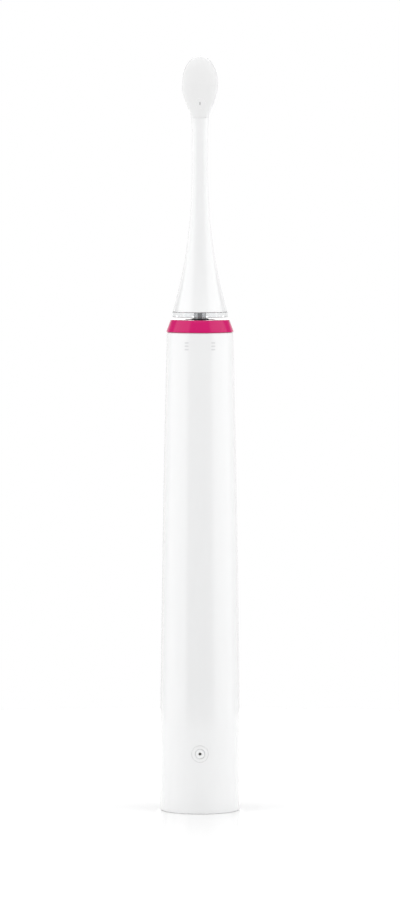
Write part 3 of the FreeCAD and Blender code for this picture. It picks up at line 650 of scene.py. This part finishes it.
def light_middles():
    """Heights of the three status lights."""
    heights = vertices_of("light_pipes")[:, 2]
    radius = high("light_pipes", "x")
    lowest, highest = heights.min() + radius, heights.max() - radius
    return [float(lowest), float((lowest + highest) / 2), float(highest)]


class MakeBase(bpy.types.Operator):
    """Turn the base cap with its stepped underside"""

    bl_idname = "toothbrush.base"
    bl_label = "Base cap"

    def execute(self, context):
        edge, foot, top = high("base_cap", "x"), low("base_cap", "z"), high("base_cap", "z")
        groove_foot, groove_top = low("base_seal", "z"), high("base_seal", "z")
        groove, inside, floor = edge - 0.7, edge - 1.3, foot + 2.2
        hollow, line = foot + 0.25, foot + 0.2
        underside = [(0, hollow, 0), (7.5, hollow, 0.1), (7.8, foot, 0.1), (9.6, foot, 0.1),
                     (9.75, line, 0.05), (9.95, line, 0.05), (10.1, foot, 0.1), (edge, foot, 0.25)]
        wall = [(edge, groove_foot, 0), (groove, groove_foot, 0), (groove, groove_top, 0),
                (edge, groove_top, 0), (edge, top, 0.15), (inside, top, 0.15), (inside, floor, 0),
                (0, floor, 0)]
        cap = lathe("base_cap_moulding", underside + wall, 160)
        white = plastic("satin_white", context.scene.brush_colours.white, 0.38, 0.08, 3500.0, 0.2, 0.015)
        settle_piece(cap, white, "handle", ["base_cap"])
        return {"FINISHED"}


class MakePort(bpy.types.Operator):
    """Make the charging port's bezel and insulator, which follow the shell's curve"""

    bl_idname = "toothbrush.port"
    bl_label = "Charging port"

    def execute(self, context):
        middle, depth = halfway("port_bezel", "z"), -2.4
        core, sunk = high("port_insulator", "x"), -0.02
        inner, outer = core + 0.07, high("port_bezel", "x") - 0.02
        hole = high("charging_contact", "x") - 0.42
        bezel = boss_on_shell("port_ring", [(inner, depth, 0), (inner, 0, 0.06), (outer, 0, 0.07),
                                            (outer, depth, 0)], middle, -1)
        insulator = boss_on_shell("port_core", [(hole, depth, 0), (hole, sunk, 0.06), (core, sunk, 0.06),
                                                (core, depth, 0)], middle, -1)
        settle_piece(bezel, gloss_white(), "handle", ["port_bezel"])
        settle_piece(insulator, gloss_white(), "handle", ["port_insulator"])
        return {"FINISHED"}


class MakeMarks(bpy.types.Operator):
    """Make the two marks of three short bars below the rim; their grey is partly the marks' own fill and
    partly painted shade of the bars
    """

    bl_idname = "toothbrush.marks"
    bl_label = "Marks below the rim"

    def execute(self, context):
        detail = context.scene.brush_detail
        # the bars' grey is partly their own fill and partly painted shade, standing for the shading along
        # the bars
        grey = plastic("mark_fill_and_painted_shade", (0.68, 0.68, 0.69), 0.3, 0.05, 3000.0, 0.1)
        reach, proud, root = detail.mark_width / 2, 0.035, -0.2
        corners = [(0, proud, 0), (reach, proud, 0.03), (reach, root, 0), (0, root, 0)]
        for side, word in ((-1, "left"), (1, "right")):
            for count, step in enumerate((-1, 0, 1)):
                height = detail.mark_height + step * detail.mark_pitch
                bar = boss_on_shell(f"mark_{word}_{count + 1}", corners, height, -1, power=5.0, stretch=0.38,
                                    shift=side * detail.mark_spread, segments=48)
                settle_piece(bar, grey, "handle")
        return {"FINISHED"}


class MakeButton(bpy.types.Operator):
    """Make the power button with its ring and its raised symbol, and the three status lights"""

    bl_idname = "toothbrush.button"
    bl_label = "Power button"

    def execute(self, context):
        middle = halfway("power_button", "z")
        self.cap(middle)
        self.symbol(middle)
        self.ring(middle)
        self.lights()
        return {"FINISHED"}

    def cap(self, middle):
        """The button's dished cap with its stem."""
        radius, underside = high("power_button", "x"), -1.1
        stem, stem_end = high("switch_plunger", "x") + 0.3, low("power_button", "y") + 0.05
        corners = [(radius * share, -0.34 + 0.24 * share ** 4, 0) for share in np.linspace(0, 0.86, 12)]
        corners += [(radius, -0.05, 0.28), (radius, underside, 0), (stem, underside, 0)]
        cap = boss_on_shell("power_button_cap", corners, middle, 1, flat=[(stem, stem_end), (0, stem_end)])
        settle_piece(cap, soft_white(), "button", ["power_button"])

    def ring(self, middle):
        """The ring and the cup behind it, with an even gap round the cap."""
        bore, edge, step = high("power_button", "x") + 0.15, high("button_bezel", "x"), -0.5
        hole, foot, floor = high("button_seal", "x"), low("button_bezel", "y"), high("button_seal", "y")
        corners = [(bore, step, 0), (bore, 0, 0.16), (edge, 0, 0.16), (edge, step, 0)]
        cup = boss_on_shell("button_ring", corners, middle, 1,
                            flat=[(edge, foot), (hole, foot), (hole, floor), (bore, floor)])
        settle_piece(cup, accent_gloss(), "handle", ["button_bezel"])

    def lights(self):
        """The milky windows of the status lights."""
        radius, root = high("light_pipes", "x"), -1.6
        milk = plastic("milky_window", (0.86, 0.88, 0.88), 0.25, 0.04, 3000.0, 0.05, 0.02,
                       Subsurface_Weight=0.3)
        corners = [(radius * share, -0.12 * share ** 2, 0) for share in np.linspace(0, 1, 7)]
        corners += [(radius, root, 0), (0, root, 0)]
        for count, light in enumerate(light_middles()):
            window = boss_on_shell(f"status_window_{count + 1}", corners, light, 1, segments=40)
            settle_piece(window, milk, "handle")

    def symbol(self, middle):
        """A broken ring with a bar, a little above the button's dish."""
        half_width, radius, dish, root, proud = 0.13, 1.25, -0.33, -0.1, 0.035
        bar_foot, bar_length = 0.25, 1.35
        opening = math.radians(38)
        sweep = np.linspace(math.pi / 2 + opening, math.pi / 2 + WHOLE_TURN - opening, 60)
        arc = [(radius * math.cos(turn), radius * math.sin(turn)) for turn in sweep]
        bar = [(0, bar_foot + bar_length * share) for share in np.linspace(0, 1, 12)]
        points, faces = [], []
        for path in (np.array(arc), np.array(bar)):
            along = np.gradient(path, axis=0)
            along /= np.linalg.norm(along, axis=1)[:, None]
            side = np.column_stack((-along[:, 1], along[:, 0])) * half_width
            start, count = len(points), len(path)
            for spot, off in zip(path, side):
                for sign, lift in ((1, root), (1, proud), (-1, proud), (-1, root)):
                    across, up = spot + sign * off
                    points.append(on_shell(np.array([across]), np.array([middle + up]), dish + lift, 1)[0])
            for base in range(start, start + 4 * (count - 1), 4):
                for corner in range(4):
                    after = (corner + 1) % 4
                    faces.append((base + corner, base + after, base + 4 + after, base + 4 + corner))
            faces.append(tuple(start + corner for corner in range(4)))
            faces.append(tuple(start + 4 * (count - 1) + corner for corner in (3, 2, 1, 0)))
        grey = plastic("symbol_grey", (0.42, 0.42, 0.43), 0.45, 0.05, 5000.0, 0.1)
        settle_piece(object_from("power_symbol", points, faces), grey, "button")


class MakeCollar(bpy.types.Operator):
    """Turn the collar, its gasket and the shaft seal"""

    bl_idname = "toothbrush.collar"
    bl_label = "Collar and seal"

    def execute(self, context):
        foot, top = low("accent_collar", "z"), high("accent_collar", "z")
        wide, narrow, sleeve = high("accent_collar", "x"), 9.68, BORE - 1.2
        gasket_edge, gasket_top = high("collar_gasket", "x"), high("collar_gasket", "z")
        seal, web, lip = high("shaft_seal", "x"), low("shaft_seal", "z"), high("shaft_seal", "z")
        seat, bore = seal + 0.02, high("drive_shaft", "x") + 0.05
        collar = lathe("accent_collar_turned", [
            (sleeve, foot, 0.1), (BORE, foot, 0.1), (BORE, gasket_top, 0), (wide, gasket_top, 0.12),
            (narrow, top, 0.28), (seat, top, 0.1), (seat, web, 0), (sleeve, web, 0),
        ], 192)
        gasket = lathe("collar_gasket_ring", [
            (BORE, RIM, 0), (gasket_edge, RIM, 0), (gasket_edge, gasket_top, 0), (BORE, gasket_top, 0),
        ], 128)
        bellows = lathe("shaft_seal_ring", [
            (bore, web, 0), (seal, web, 0), (seal, top - 0.2, 0.05), (bore + 1.1, top - 0.15, 0.1),
            (bore + 0.7, lip - 0.15, 0.15), (bore + 0.15, lip - 0.05, 0.08), (bore, lip - 0.25, 0.05),
        ], 96)
        settle_piece(collar, accent_gloss(), "handle", ["accent_collar"])
        settle_piece(gasket, seal_rubber(), "handle", ["collar_gasket"])
        settle_piece(bellows, seal_rubber(), "handle", ["shaft_seal"])
        return {"FINISHED"}


class MakeClearRing(bpy.types.Operator):
    """Turn the clear ring under the brush head"""

    bl_idname = "toothbrush.clear_ring"
    bl_label = "Clear ring"

    def execute(self, context):
        foot, top, edge = low("clear_ring", "z"), high("clear_ring", "z"), high("clear_ring", "x")
        bore = 5.6
        corners = [(bore, foot, 0.12), (edge, foot, 0.22), (edge, top, 0.1), (bore, top, 0.05)]
        ring = lathe("clear_ring_turned", corners, 192)
        settle_piece(ring, clear_material(), "brush_head", ["clear_ring"])
        return {"FINISHED"}


# ---- neck and head ----

NECK_FOOT = low("brush_neck", "z")
NECK_RADIUS = high("brush_neck", "x")
HEAD_TOP = high("brush_neck", "z")
HEAD_BACK = -low("head_back_pad", "y")
HEAD_FRONT = 1.85
# from the head's middle down to where the neck starts to widen
SHOULDER = 15.5
# powers of a section's outline: 2 is an oval, and more is squarer
ROUND = 2.0
SQUARE = 5.5


def neck_sizes(height):
    """Half width, depth to the front, depth to the back, and squareness of the front at a height."""
    detail = bpy.context.scene.brush_detail
    waist, thick, full = detail.waist_width, detail.waist_depth, detail.head_half_width
    share = 1 - (height - NECK_FOOT) / detail.flare_length
    if share > 0:
        width = waist + (NECK_RADIUS - waist) * share ** 2.3
        depth = thick + (NECK_RADIUS - thick) * share ** 2.6
        return width, depth, depth, ROUND
    rise = height - (HEAD_TOP - detail.head_half_length)
    if rise < 0:
        widths = [(-SHOULDER, waist), (-12.2, waist + 0.2), (-10.1, waist + 0.44), (-8.5, waist + 1.13),
                  (-6.1, waist + 2.14), (-4.1, full - 0.54), (-1.6, full - 0.06), (0.4, full)]
        backs = [(-SHOULDER, thick), (-11.0, thick + 0.05), (-6.0, HEAD_BACK - 0.3), (0.0, HEAD_BACK)]
        width, back = (float(smooth_through(curve, max(rise, -SHOULDER))) for curve in (widths, backs))
        flattening = min(1.0, max(0.0, (rise + 15.0) / 9.0)) ** 2
        return width, HEAD_FRONT, back, ROUND + (SQUARE - ROUND) * flattening
    dome = math.sqrt(max(0.0, 1 - (rise / detail.head_half_length) ** 2))
    lip = max(0.0, 1 - (rise / detail.head_half_length) ** 7) ** (1 / 5)
    return full * dome, HEAD_FRONT * lip, HEAD_BACK * dome, SQUARE


def section_ring(height, count):
    """Points round a level section of the neck or head, evenly spaced, from +X through the front."""
    width, front, back, square = neck_sizes(height)
    turn = turns_of(1440)
    cosine, sine = np.cos(turn), np.sin(turn)
    power = 2 / np.where(sine > 0, square, ROUND)
    across = width * np.sign(cosine) * np.abs(cosine) ** power
    depth = np.where(sine > 0, front, back) * np.sign(sine) * np.abs(sine) ** power
    across, depth = np.append(across, across[0]), np.append(depth, depth[0])
    lengths = np.concatenate(([0], np.cumsum(np.hypot(np.diff(across), np.diff(depth)))))
    wanted = np.arange(count) * lengths[-1] / count
    places = np.interp(wanted, lengths, across), np.interp(wanted, lengths, depth)
    return np.column_stack(places + (np.full(count, height),))


def neck_heights():
    """Heights of the sections: even along the neck, closer round the head and at its top."""
    half_length = bpy.context.scene.brush_detail.head_half_length
    middle = HEAD_TOP - half_length
    neck = np.linspace(NECK_FOOT + 0.35, middle - SHOULDER, 56, endpoint=False)
    head = np.linspace(middle - SHOULDER, middle, 46, endpoint=False)
    top = middle + half_length * np.sin(np.linspace(0, math.radians(88.3), 34))
    return np.concatenate((neck, head, top))


def neck_solid():
    """The neck and head as one closed shape, with the room for the coupling."""
    count, clearance = 112, 0.02
    roof = high("drive_coupling", "z") + clearance
    barrel, flange, step = 3.42, high("drive_coupling", "x") + clearance, NECK_FOOT + 1.22
    inside = [(0, roof), (barrel, roof), (barrel, step), (flange, step), (flange, NECK_FOOT),
              (NECK_RADIUS - 0.3, NECK_FOOT), (NECK_RADIUS - 0.12, NECK_FOOT + 0.04),
              (NECK_RADIUS - 0.05, NECK_FOOT + 0.14)]
    rings = [level_ring(radius, height, turns_of(count)) for radius, height in inside]
    rings += [section_ring(float(height), count) for height in neck_heights()]
    return shape_from("brush_neck_moulding", rings + [[(0, 0, HEAD_TOP)]], 40)


def on_head(across, up, rise):
    """A place on the back of the head."""
    width, _, back, _ = neck_sizes(up)
    return across, -back * math.sqrt(max(0.0, 1 - (across / width) ** 2)) - rise, up


class MakeNeck(bpy.types.Operator):
    """Make the neck and head plate, the soft pad on the back, and the small moulded ring on it"""

    bl_idname = "toothbrush.neck"
    bl_label = "Neck and head"

    def execute(self, context):
        neck = neck_solid()
        pad = neck.copy()
        pad.data = neck.data.copy()
        pad.name = "head_back_soft"
        context.scene.collection.objects.link(pad)
        radius, gap, beyond = 10.6, 0.05, -8
        middle, seam = HEAD_TOP - radius + 0.7, high("head_back_pad", "y")
        combined(neck, cutter(radius, beyond, seam, middle, 256), "DIFFERENCE")
        combined(pad, cutter(radius - gap, beyond, seam - gap, middle, 256), "INTERSECT")
        settle_piece(neck, gloss_white(), "brush_head", ["brush_neck"])
        settle_piece(pad, soft_white(), "brush_head", ["head_back_pad"])
        self.gate(HEAD_TOP - context.scene.brush_detail.head_half_length - 6.32)
        return {"FINISHED"}

    def gate(self, middle):
        """A shallow ring with a short slot, left by the mould; the slot is a patch barely proud of the pad,
        and its dark grey is painted shade of a recess.
        """
        ring_radius, bead = 1.62, 0.07
        rings = []
        for tilt in turns_of(8):
            radius, rise = ring_radius + bead * math.cos(tilt), 0.6 * bead * math.sin(tilt)
            rings.append([on_head(radius * math.cos(turn), middle + radius * math.sin(turn), rise)
                          for turn in turns_of(72)])
        settle_piece(shape_from("gate_ring", rings), soft_white(), "brush_head")
        half_width, half_length, proud, root = 0.17, 0.62, 0.02, -0.15
        rings = [[on_head(0, middle, proud)]]
        for reach, rise in ((0.8, proud), (1.0, -0.01), (1.0, root)):
            rings.append([])
            for turn in turns_of(32):
                across = half_width * math.cos(turn) * reach
                up = half_length * math.copysign(abs(math.sin(turn)) ** 0.6, math.sin(turn)) * reach
                rings[-1].append(on_head(across, middle + up, rise))
        rings.append([on_head(0, middle, root)])
        # the slot's dark grey is painted shade, standing for the shade inside the slot's recess
        grey = plastic("slot_painted_shade", (0.35, 0.35, 0.36), 0.5, 0.05, 5000.0, 0.1)
        settle_piece(shape_from("gate_slot", rings), grey, "brush_head")


# ---- bristles ----

# tips nearer than this are of one tuft
TUFT_PITCH = 1.6
GOLDEN_ANGLE = math.pi * (3 - 5 ** 0.5)


def tuft_middles(node):
    """Across and up of the middle of every tuft in a frame node."""
    places = vertices_of(node)
    tips = places[places[:, 1] > places[:, 1].max() - 0.01][:, (0, 2)]
    middles = []
    for tip in tips:
        for group in middles:
            if np.linalg.norm(group[0] - tip) < TUFT_PITCH:
                group.append(tip)
                break
        else:
            middles.append([tip])
    return [(np.min(group, axis=0) + np.max(group, axis=0)) / 2 for group in middles]


def random_vector(tree, seed, least, most):
    """A random vector for each point, between two."""
    made = node_in(tree, "FunctionNodeRandomValue", data_type="FLOAT_VECTOR")
    made.inputs[0].default_value = least
    made.inputs[1].default_value = most
    link(tree, seed, made.inputs["Seed"])
    return made.outputs[0]


def bristle_tree(material):
    """A node tree that turns points into tufts of filaments with rounded tips."""
    tree = bpy.data.node_groups.new("bristle_tufts", "GeometryNodeTree")
    tree.interface.new_socket("Geometry", in_out="INPUT", socket_type="NodeSocketGeometry")
    for title, kind, default in (("Tuft Radius", "Float", 0.6 * MM), ("Filament Radius", "Float", 0.08 * MM),
                                 ("Length", "Float", 11 * MM), ("Filaments", "Int", 38), ("Seed", "Int", 7)):
        socket = tree.interface.new_socket(title, in_out="INPUT", socket_type=f"NodeSocket{kind}")
        socket.default_value = default
    tree.interface.new_socket("Geometry", in_out="OUTPUT", socket_type="NodeSocketGeometry")
    given, out = tree.nodes.new("NodeGroupInput").outputs, tree.nodes.new("NodeGroupOutput")

    # one tuft: points in a sunflower spiral, so that they are evenly spread
    line = tree.nodes.new("GeometryNodePoints")
    link(tree, given["Filaments"], line.inputs["Count"])
    index = tree.nodes.new("GeometryNodeInputIndex").outputs[0]
    share = math_in(tree, "DIVIDE", math_in(tree, "ADD", index, 0.5), given["Filaments"])
    reach = math_in(tree, "MULTIPLY", math_in(tree, "SQRT", share), given["Tuft Radius"])
    turn = math_in(tree, "MULTIPLY", index, GOLDEN_ANGLE)
    across = math_in(tree, "MULTIPLY", reach, math_in(tree, "COSINE", turn))
    up = math_in(tree, "MULTIPLY", reach, math_in(tree, "SINE", turn))
    link(tree, vector_in(tree, X=across, Y=up), line.inputs["Position"])

    # one filament: a small ball whose lower half is drawn down to the root
    ball = tree.nodes.new("GeometryNodeMeshUVSphere")
    ball.inputs["Segments"].default_value = 7
    ball.inputs["Rings"].default_value = 5
    link(tree, given["Filament Radius"], ball.inputs["Radius"])
    height = parts_in(tree, tree.nodes.new("GeometryNodeInputPosition").outputs[0])["Z"]
    drawn = tree.nodes.new("GeometryNodeSetPosition")
    link(tree, ball.outputs["Mesh"], drawn.inputs["Geometry"])
    link(tree, math_in(tree, "LESS_THAN", height, 0), drawn.inputs["Selection"])
    down = math_in(tree, "MULTIPLY", given["Length"], -1.0)
    link(tree, vector_in(tree, Z=down), drawn.inputs["Offset"])
    filament = tree.nodes.new("GeometryNodeTransform")
    link(tree, drawn.outputs["Geometry"], filament.inputs["Geometry"])
    link(tree, vector_in(tree, Z=given["Length"]), filament.inputs["Translation"])

    # filaments on the tuft's points, leaning a little and uneven in length
    tuft = tree.nodes.new("GeometryNodeInstanceOnPoints")
    link(tree, line.outputs[0], tuft.inputs["Points"])
    link(tree, filament.outputs["Geometry"], tuft.inputs["Instance"])
    lean = random_vector(tree, given["Seed"], (-0.012, -0.012, 0.0), (0.012, 0.012, 6.28))
    link(tree, lean, tuft.inputs["Rotation"])
    stretch = random_vector(tree, given["Seed"], (1.0, 1.0, 0.975), (1.0, 1.0, 1.0))
    link(tree, stretch, tuft.inputs["Scale"])

    # tufts on the head's points, pointed to the front
    field = tree.nodes.new("GeometryNodeInstanceOnPoints")
    points = tree.nodes.new("GeometryNodeMeshToPoints")
    link(tree, given["Geometry"], points.inputs["Mesh"])
    link(tree, points.outputs["Points"], field.inputs["Points"])
    link(tree, tuft.outputs["Instances"], field.inputs["Instance"])
    field.inputs["Rotation"].default_value = (-math.pi / 2, 0.0, 0.0)
    real = tree.nodes.new("GeometryNodeRealizeInstances")
    link(tree, field.outputs["Instances"], real.inputs["Geometry"])
    painted = tree.nodes.new("GeometryNodeSetMaterial")
    painted.inputs["Material"].default_value = material
    link(tree, real.outputs["Geometry"], painted.inputs["Geometry"])
    link(tree, painted.outputs["Geometry"], out.inputs["Geometry"])
    return tree


def set_input(modifier, title, value):
    """Set a node tree's named input on its modifier."""
    for socket in modifier.node_group.interface.items_tree:
        if socket.item_type == "SOCKET" and socket.in_out == "INPUT" and socket.name == title:
            modifier[socket.identifier] = value
            return
    raise RuntimeError(f"the node tree has no input called {title}")


class MakeBristles(bpy.types.Operator):
    """Grow the filaments of every tuft"""

    bl_idname = "toothbrush.bristles"
    bl_label = "Bristles"

    def execute(self, context):
        colours = context.scene.brush_colours
        bands = (("tufts_outer", "outer_filaments", colours.bristle, "bristle_white", 11, 0.0),
                 ("tufts_inner", "inner_filaments", colours.bristle_accent, "bristle_pink", 29, 0.7))
        for node, finish, colour, slot, seed, shorter in bands:
            nylon = plastic(finish, colour, 0.4, 0.1, 8000.0, 0.05, 0.08, Subsurface_Weight=0.25,
                            Subsurface_Scale=0.001)
            self.grow(context, node, nylon, slot, seed, shorter)
        return {"FINISHED"}

    def grow(self, context, node, material, slot, seed, shorter):
        """Grow one band of tufts."""
        detail = context.scene.brush_detail
        root, thin = low(node, "y") + 0.1, detail.filament_radius
        outermost = max(across for across, up in tuft_middles("tufts_outer"))
        radius = high("tufts_outer", "x") - outermost
        mesh = bpy.data.meshes.new(f"{node}_filaments")
        mesh.from_pydata([(across * MM, root * MM, up * MM) for across, up in tuft_middles(node)], [], [])
        piece = bpy.data.objects.new(f"{node}_filaments", mesh)
        context.scene.collection.objects.link(piece)
        growing = piece.modifiers.new("bristles", "NODES")
        growing.node_group = bristle_tree(material)
        set_input(growing, "Tuft Radius", (radius - thin) * MM)
        set_input(growing, "Filament Radius", thin * MM)
        set_input(growing, "Length", (high(node, "y") - root - thin - shorter) * MM)
        set_input(growing, "Filaments", detail.filaments)
        set_input(growing, "Seed", seed)
        settled(piece, 60)
        settle_piece(piece, material, "brush_head", [node])


# ---- frame nodes that keep their shape ----

class FinishFrame(bpy.types.Operator):
    """Give every frame node that stays its finish"""

    bl_idname = "toothbrush.frame"
    bl_label = "Inner parts"

    def execute(self, context):
        moulded = plastic("grey_plastic", (0.42, 0.43, 0.44), 0.45, 0.1, 4000.0, 0.35, 0.06)
        black = plastic("black_plastic", (0.018, 0.018, 0.02), 0.42, 0.1, 5000.0, 0.4, 0.2)
        rubber = plastic("black_rubber", (0.03, 0.03, 0.032), 0.65, 0.15, 7000.0, 0.5, 0.2)
        foam = plastic("grey_foam", (0.16, 0.16, 0.17), 0.9, 0.1, 2500.0, 1.0, 0.3)
        wrap = plastic("cell_wrap", (0.02, 0.10, 0.30), 0.28, 0.05, 1500.0, 0.15, 0.1)
        mask = plastic("solder_mask", (0.008, 0.11, 0.045), 0.3, 0.1, 1800.0, 0.3, 0.25)
        lamp = plastic("led_body", (0.75, 0.72, 0.55), 0.35)
        steel = metal("polished_steel", (0.60, 0.60, 0.61), 0.12)
        shaft_steel = metal("shaft_steel", (0.38, 0.38, 0.39), 0.12)
        core_steel = metal("lamination_steel", (0.30, 0.30, 0.31), 0.35, rings=2600.0, bump=0.6)
        nickel = metal("nickel_plate", (0.66, 0.63, 0.58), 0.2)
        contact = metal("contact_nickel", (0.30, 0.29, 0.28), 0.4)
        brass = metal("brass", (0.72, 0.50, 0.24), 0.25)
        copper = metal("enamelled_copper", (0.68, 0.28, 0.12), 0.3, rings=5200.0, bump=1.0)
        uses = (
            (moulded, ("chassis", "switch_plunger", "motor_rear_plate", "bearing_plate", "front_plate",
                       "drive_coupling")),
            (black, ("charging_jack", "controller_chip", "switch_body", "coil_former")),
            (rubber, ("base_seal", "button_seal", "rear_damper", "front_damper")),
            (foam, ("battery_pad",)),
            (wrap, ("battery_cell",)),
            (mask, ("main_board",)),
            (lamp, ("status_leds",)),
            (clear_material(), ("light_pipes",)),
            (steel, ("board_screws", "motor_can", "return_spring", "shaft_clips", "coupling_leaf")),
            (shaft_steel, ("drive_shaft",)),
            (core_steel, ("stator_core", "rotor_yoke")),
            (nickel, ("battery_tabs", "rotor_magnets", "tuft_anchors")),
            (contact, ("charging_contact",)),
            (brass, ("rear_bearing", "front_bearing", "spring_hub")),
            (copper, ("coil_winding", "motor_leads")),
        )
        finishes = {node: material for material, nodes in uses for node in nodes}
        for name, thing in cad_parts.items():
            if thing.hide_render:
                continue
            if name not in finishes:
                raise RuntimeError(f"{name} has no finish")
            set_material(thing, finishes[name])
        return {"FINISHED"}


# ---- studio ----

WHITE = (1, 1, 1, 1)


def studio_world(setup):
    """White to the camera; its light is brighter at both sides, overhead and low straight behind."""
    world = bpy.data.worlds.new("studio")
    bpy.context.scene.world = world
    world.use_nodes = True
    tree = world.node_tree
    tree.nodes.clear()
    place = tree.nodes.new("ShaderNodeTexCoord")
    toward = parts_in(tree, place.outputs["Generated"])
    up = toward["Z"]
    azimuth = math_in(tree, "ARCTAN2", math_in(tree, "ABSOLUTE", toward["X"]),
                      math_in(tree, "MULTIPLY", toward["Y"], -1.0))

    # round the object, from straight behind the camera at 0 degrees to straight ahead of it at 180
    level = mix_in(tree, ramp_in(tree, azimuth, math.radians(38), math.radians(45)),
                   setup.front_light, setup.strip_light)
    side = mix_in(tree, ramp_in(tree, math_in(tree, "ABSOLUTE", up), 0.12, 0.22),
                  setup.side_light, setup.fill_light)
    level = mix_in(tree, ramp_in(tree, azimuth, math.radians(104), math.radians(116)), level, side)
    behind = ramp_in(tree, azimuth, math.radians(170), math.radians(174))
    raised = math_in(tree, "MULTIPLY", ramp_in(tree, up, 0.03, 0.06), ramp_in(tree, up, 0.3, 0.24))
    level = mix_in(tree, math_in(tree, "MULTIPLY", behind, raised), level, setup.back_light)

    # overhead and underneath
    level = mix_in(tree, ramp_in(tree, up, 0.66, 0.80), level, setup.top_light)
    level = mix_in(tree, ramp_in(tree, up, -0.12, -0.2), level, setup.low_light)

    lights, plain = (tree.nodes.new("ShaderNodeBackground") for _ in range(2))
    for background in (lights, plain):
        background.inputs["Color"].default_value = WHITE
    link(tree, level, lights.inputs["Strength"])
    seen = tree.nodes.new("ShaderNodeLightPath").outputs["Is Camera Ray"]
    out = tree.nodes.new("ShaderNodeOutputWorld")
    link(tree, blend_in(tree, seen, lights.outputs[0], plain.outputs[0]), out.inputs["Surface"])


def studio_floor(setup):
    """A round white floor, open under the foot and clear from below, with a soft shine behind the foot."""
    count = 96
    inner, outer = (level_ring(reach / MM, 0, turns_of(count))
                    for reach in (setup.floor_opening, setup.floor_reach))
    floor = object_from("studio_floor", inner + outer, rings_to_faces([count, count], closed=False))
    material, tree = new_material("studio_floor")
    tree.nodes.clear()
    place = tree.nodes.new("ShaderNodeTexCoord").outputs["Object"]
    away = node_in(tree, "ShaderNodeVectorMath", operation="LENGTH")
    link(tree, place, away.inputs[0])
    fade = ramp_in(tree, away.outputs["Value"], 13 * MM, setup.shine_reach, 0.45, 0.0)
    side = parts_in(tree, place)
    strip = ramp_in(tree, math_in(tree, "ABSOLUTE", side["X"]), 11 * MM, 15 * MM, 1.0, 0.0)
    behind = math_in(tree, "LESS_THAN", side["Y"], 0.0)
    mask = math_in(tree, "MULTIPLY", math_in(tree, "MULTIPLY", strip, behind), fade)
    matt = tree.nodes.new("ShaderNodeBsdfDiffuse")
    matt.inputs["Color"].default_value = (setup.floor_white, setup.floor_white, setup.floor_white, 1)
    shine = tree.nodes.new("ShaderNodeBsdfGlossy")
    shine.inputs["Color"].default_value = WHITE
    shine.inputs["Roughness"].default_value = 0.12
    surface = blend_in(tree, mask, matt.outputs[0], shine.outputs[0])
    clear = tree.nodes.new("ShaderNodeBsdfTransparent").outputs[0]
    from_below = tree.nodes.new("ShaderNodeNewGeometry").outputs["Backfacing"]
    out = tree.nodes.new("ShaderNodeOutputMaterial")
    link(tree, blend_in(tree, from_below, surface, clear), out.inputs["Surface"])
    set_material(floor, material)


class MakeStudio(bpy.types.Operator):
    """Set up the floor, the light and the camera"""

    bl_idname = "toothbrush.studio"
    bl_label = "Studio"

    def execute(self, context):
        setup = context.scene.brush_studio
        studio_world(setup)
        studio_floor(setup)
        camera = bpy.data.objects.new("camera", bpy.data.cameras.new("camera"))
        context.scene.collection.objects.link(camera)
        camera.location = (0.0, -setup.distance, setup.eye_height)
        camera.rotation_euler = Euler((math.pi / 2 - setup.pitch, 0, 0))
        camera.data.lens = setup.lens
        camera.data.sensor_width = 36.0
        camera.data.clip_start = 0.05
        camera.data.clip_end = 20.0
        context.scene.camera = camera
        context.scene.view_settings.view_transform = "Standard"
        return {"FINISHED"}


class BrushPanel(bpy.types.Panel):
    """Sizes, colours and steps of the toothbrush"""

    bl_idname = "VIEW3D_PT_toothbrush"
    bl_label = "Toothbrush"
    bl_space_type = "VIEW_3D"
    bl_region_type = "UI"
    bl_category = "Toothbrush"

    def draw(self, context):
        for name in SETTINGS:
            settings = getattr(context.scene, name)
            box = self.layout.box()
            for key in settings.__annotations__:
                box.prop(settings, key)
        for step in STEPS:
            self.layout.operator(step.bl_idname)


SETTINGS = {"brush_colours": BrushColours, "brush_detail": BrushDetail, "brush_studio": StudioSetup}
STEPS = (MakeGroups, MakeStudio, MakeShell, MakeBase, MakePort, MakeMarks, MakeButton, MakeCollar,
         MakeClearRing, MakeNeck, MakeBristles, FinishFrame)


def register():
    """Register the classes and hang the settings on the scene."""
    for name, settings in SETTINGS.items():
        bpy.utils.register_class(settings)
        setattr(bpy.types.Scene, name, bpy.props.PointerProperty(type=settings))
    for item in STEPS + (BrushPanel,):
        bpy.utils.register_class(item)


def unregister():
    """Undo register."""
    for item in (BrushPanel,) + tuple(reversed(STEPS)):
        bpy.utils.unregister_class(item)
    for name, settings in SETTINGS.items():
        delattr(bpy.types.Scene, name)
        bpy.utils.unregister_class(settings)


def main():
    """Run every step in order."""
    register()
    for step in STEPS:
        family, name = step.bl_idname.split(".")
        getattr(getattr(bpy.ops, family), name)()


if __name__ == "__main__":
    main()
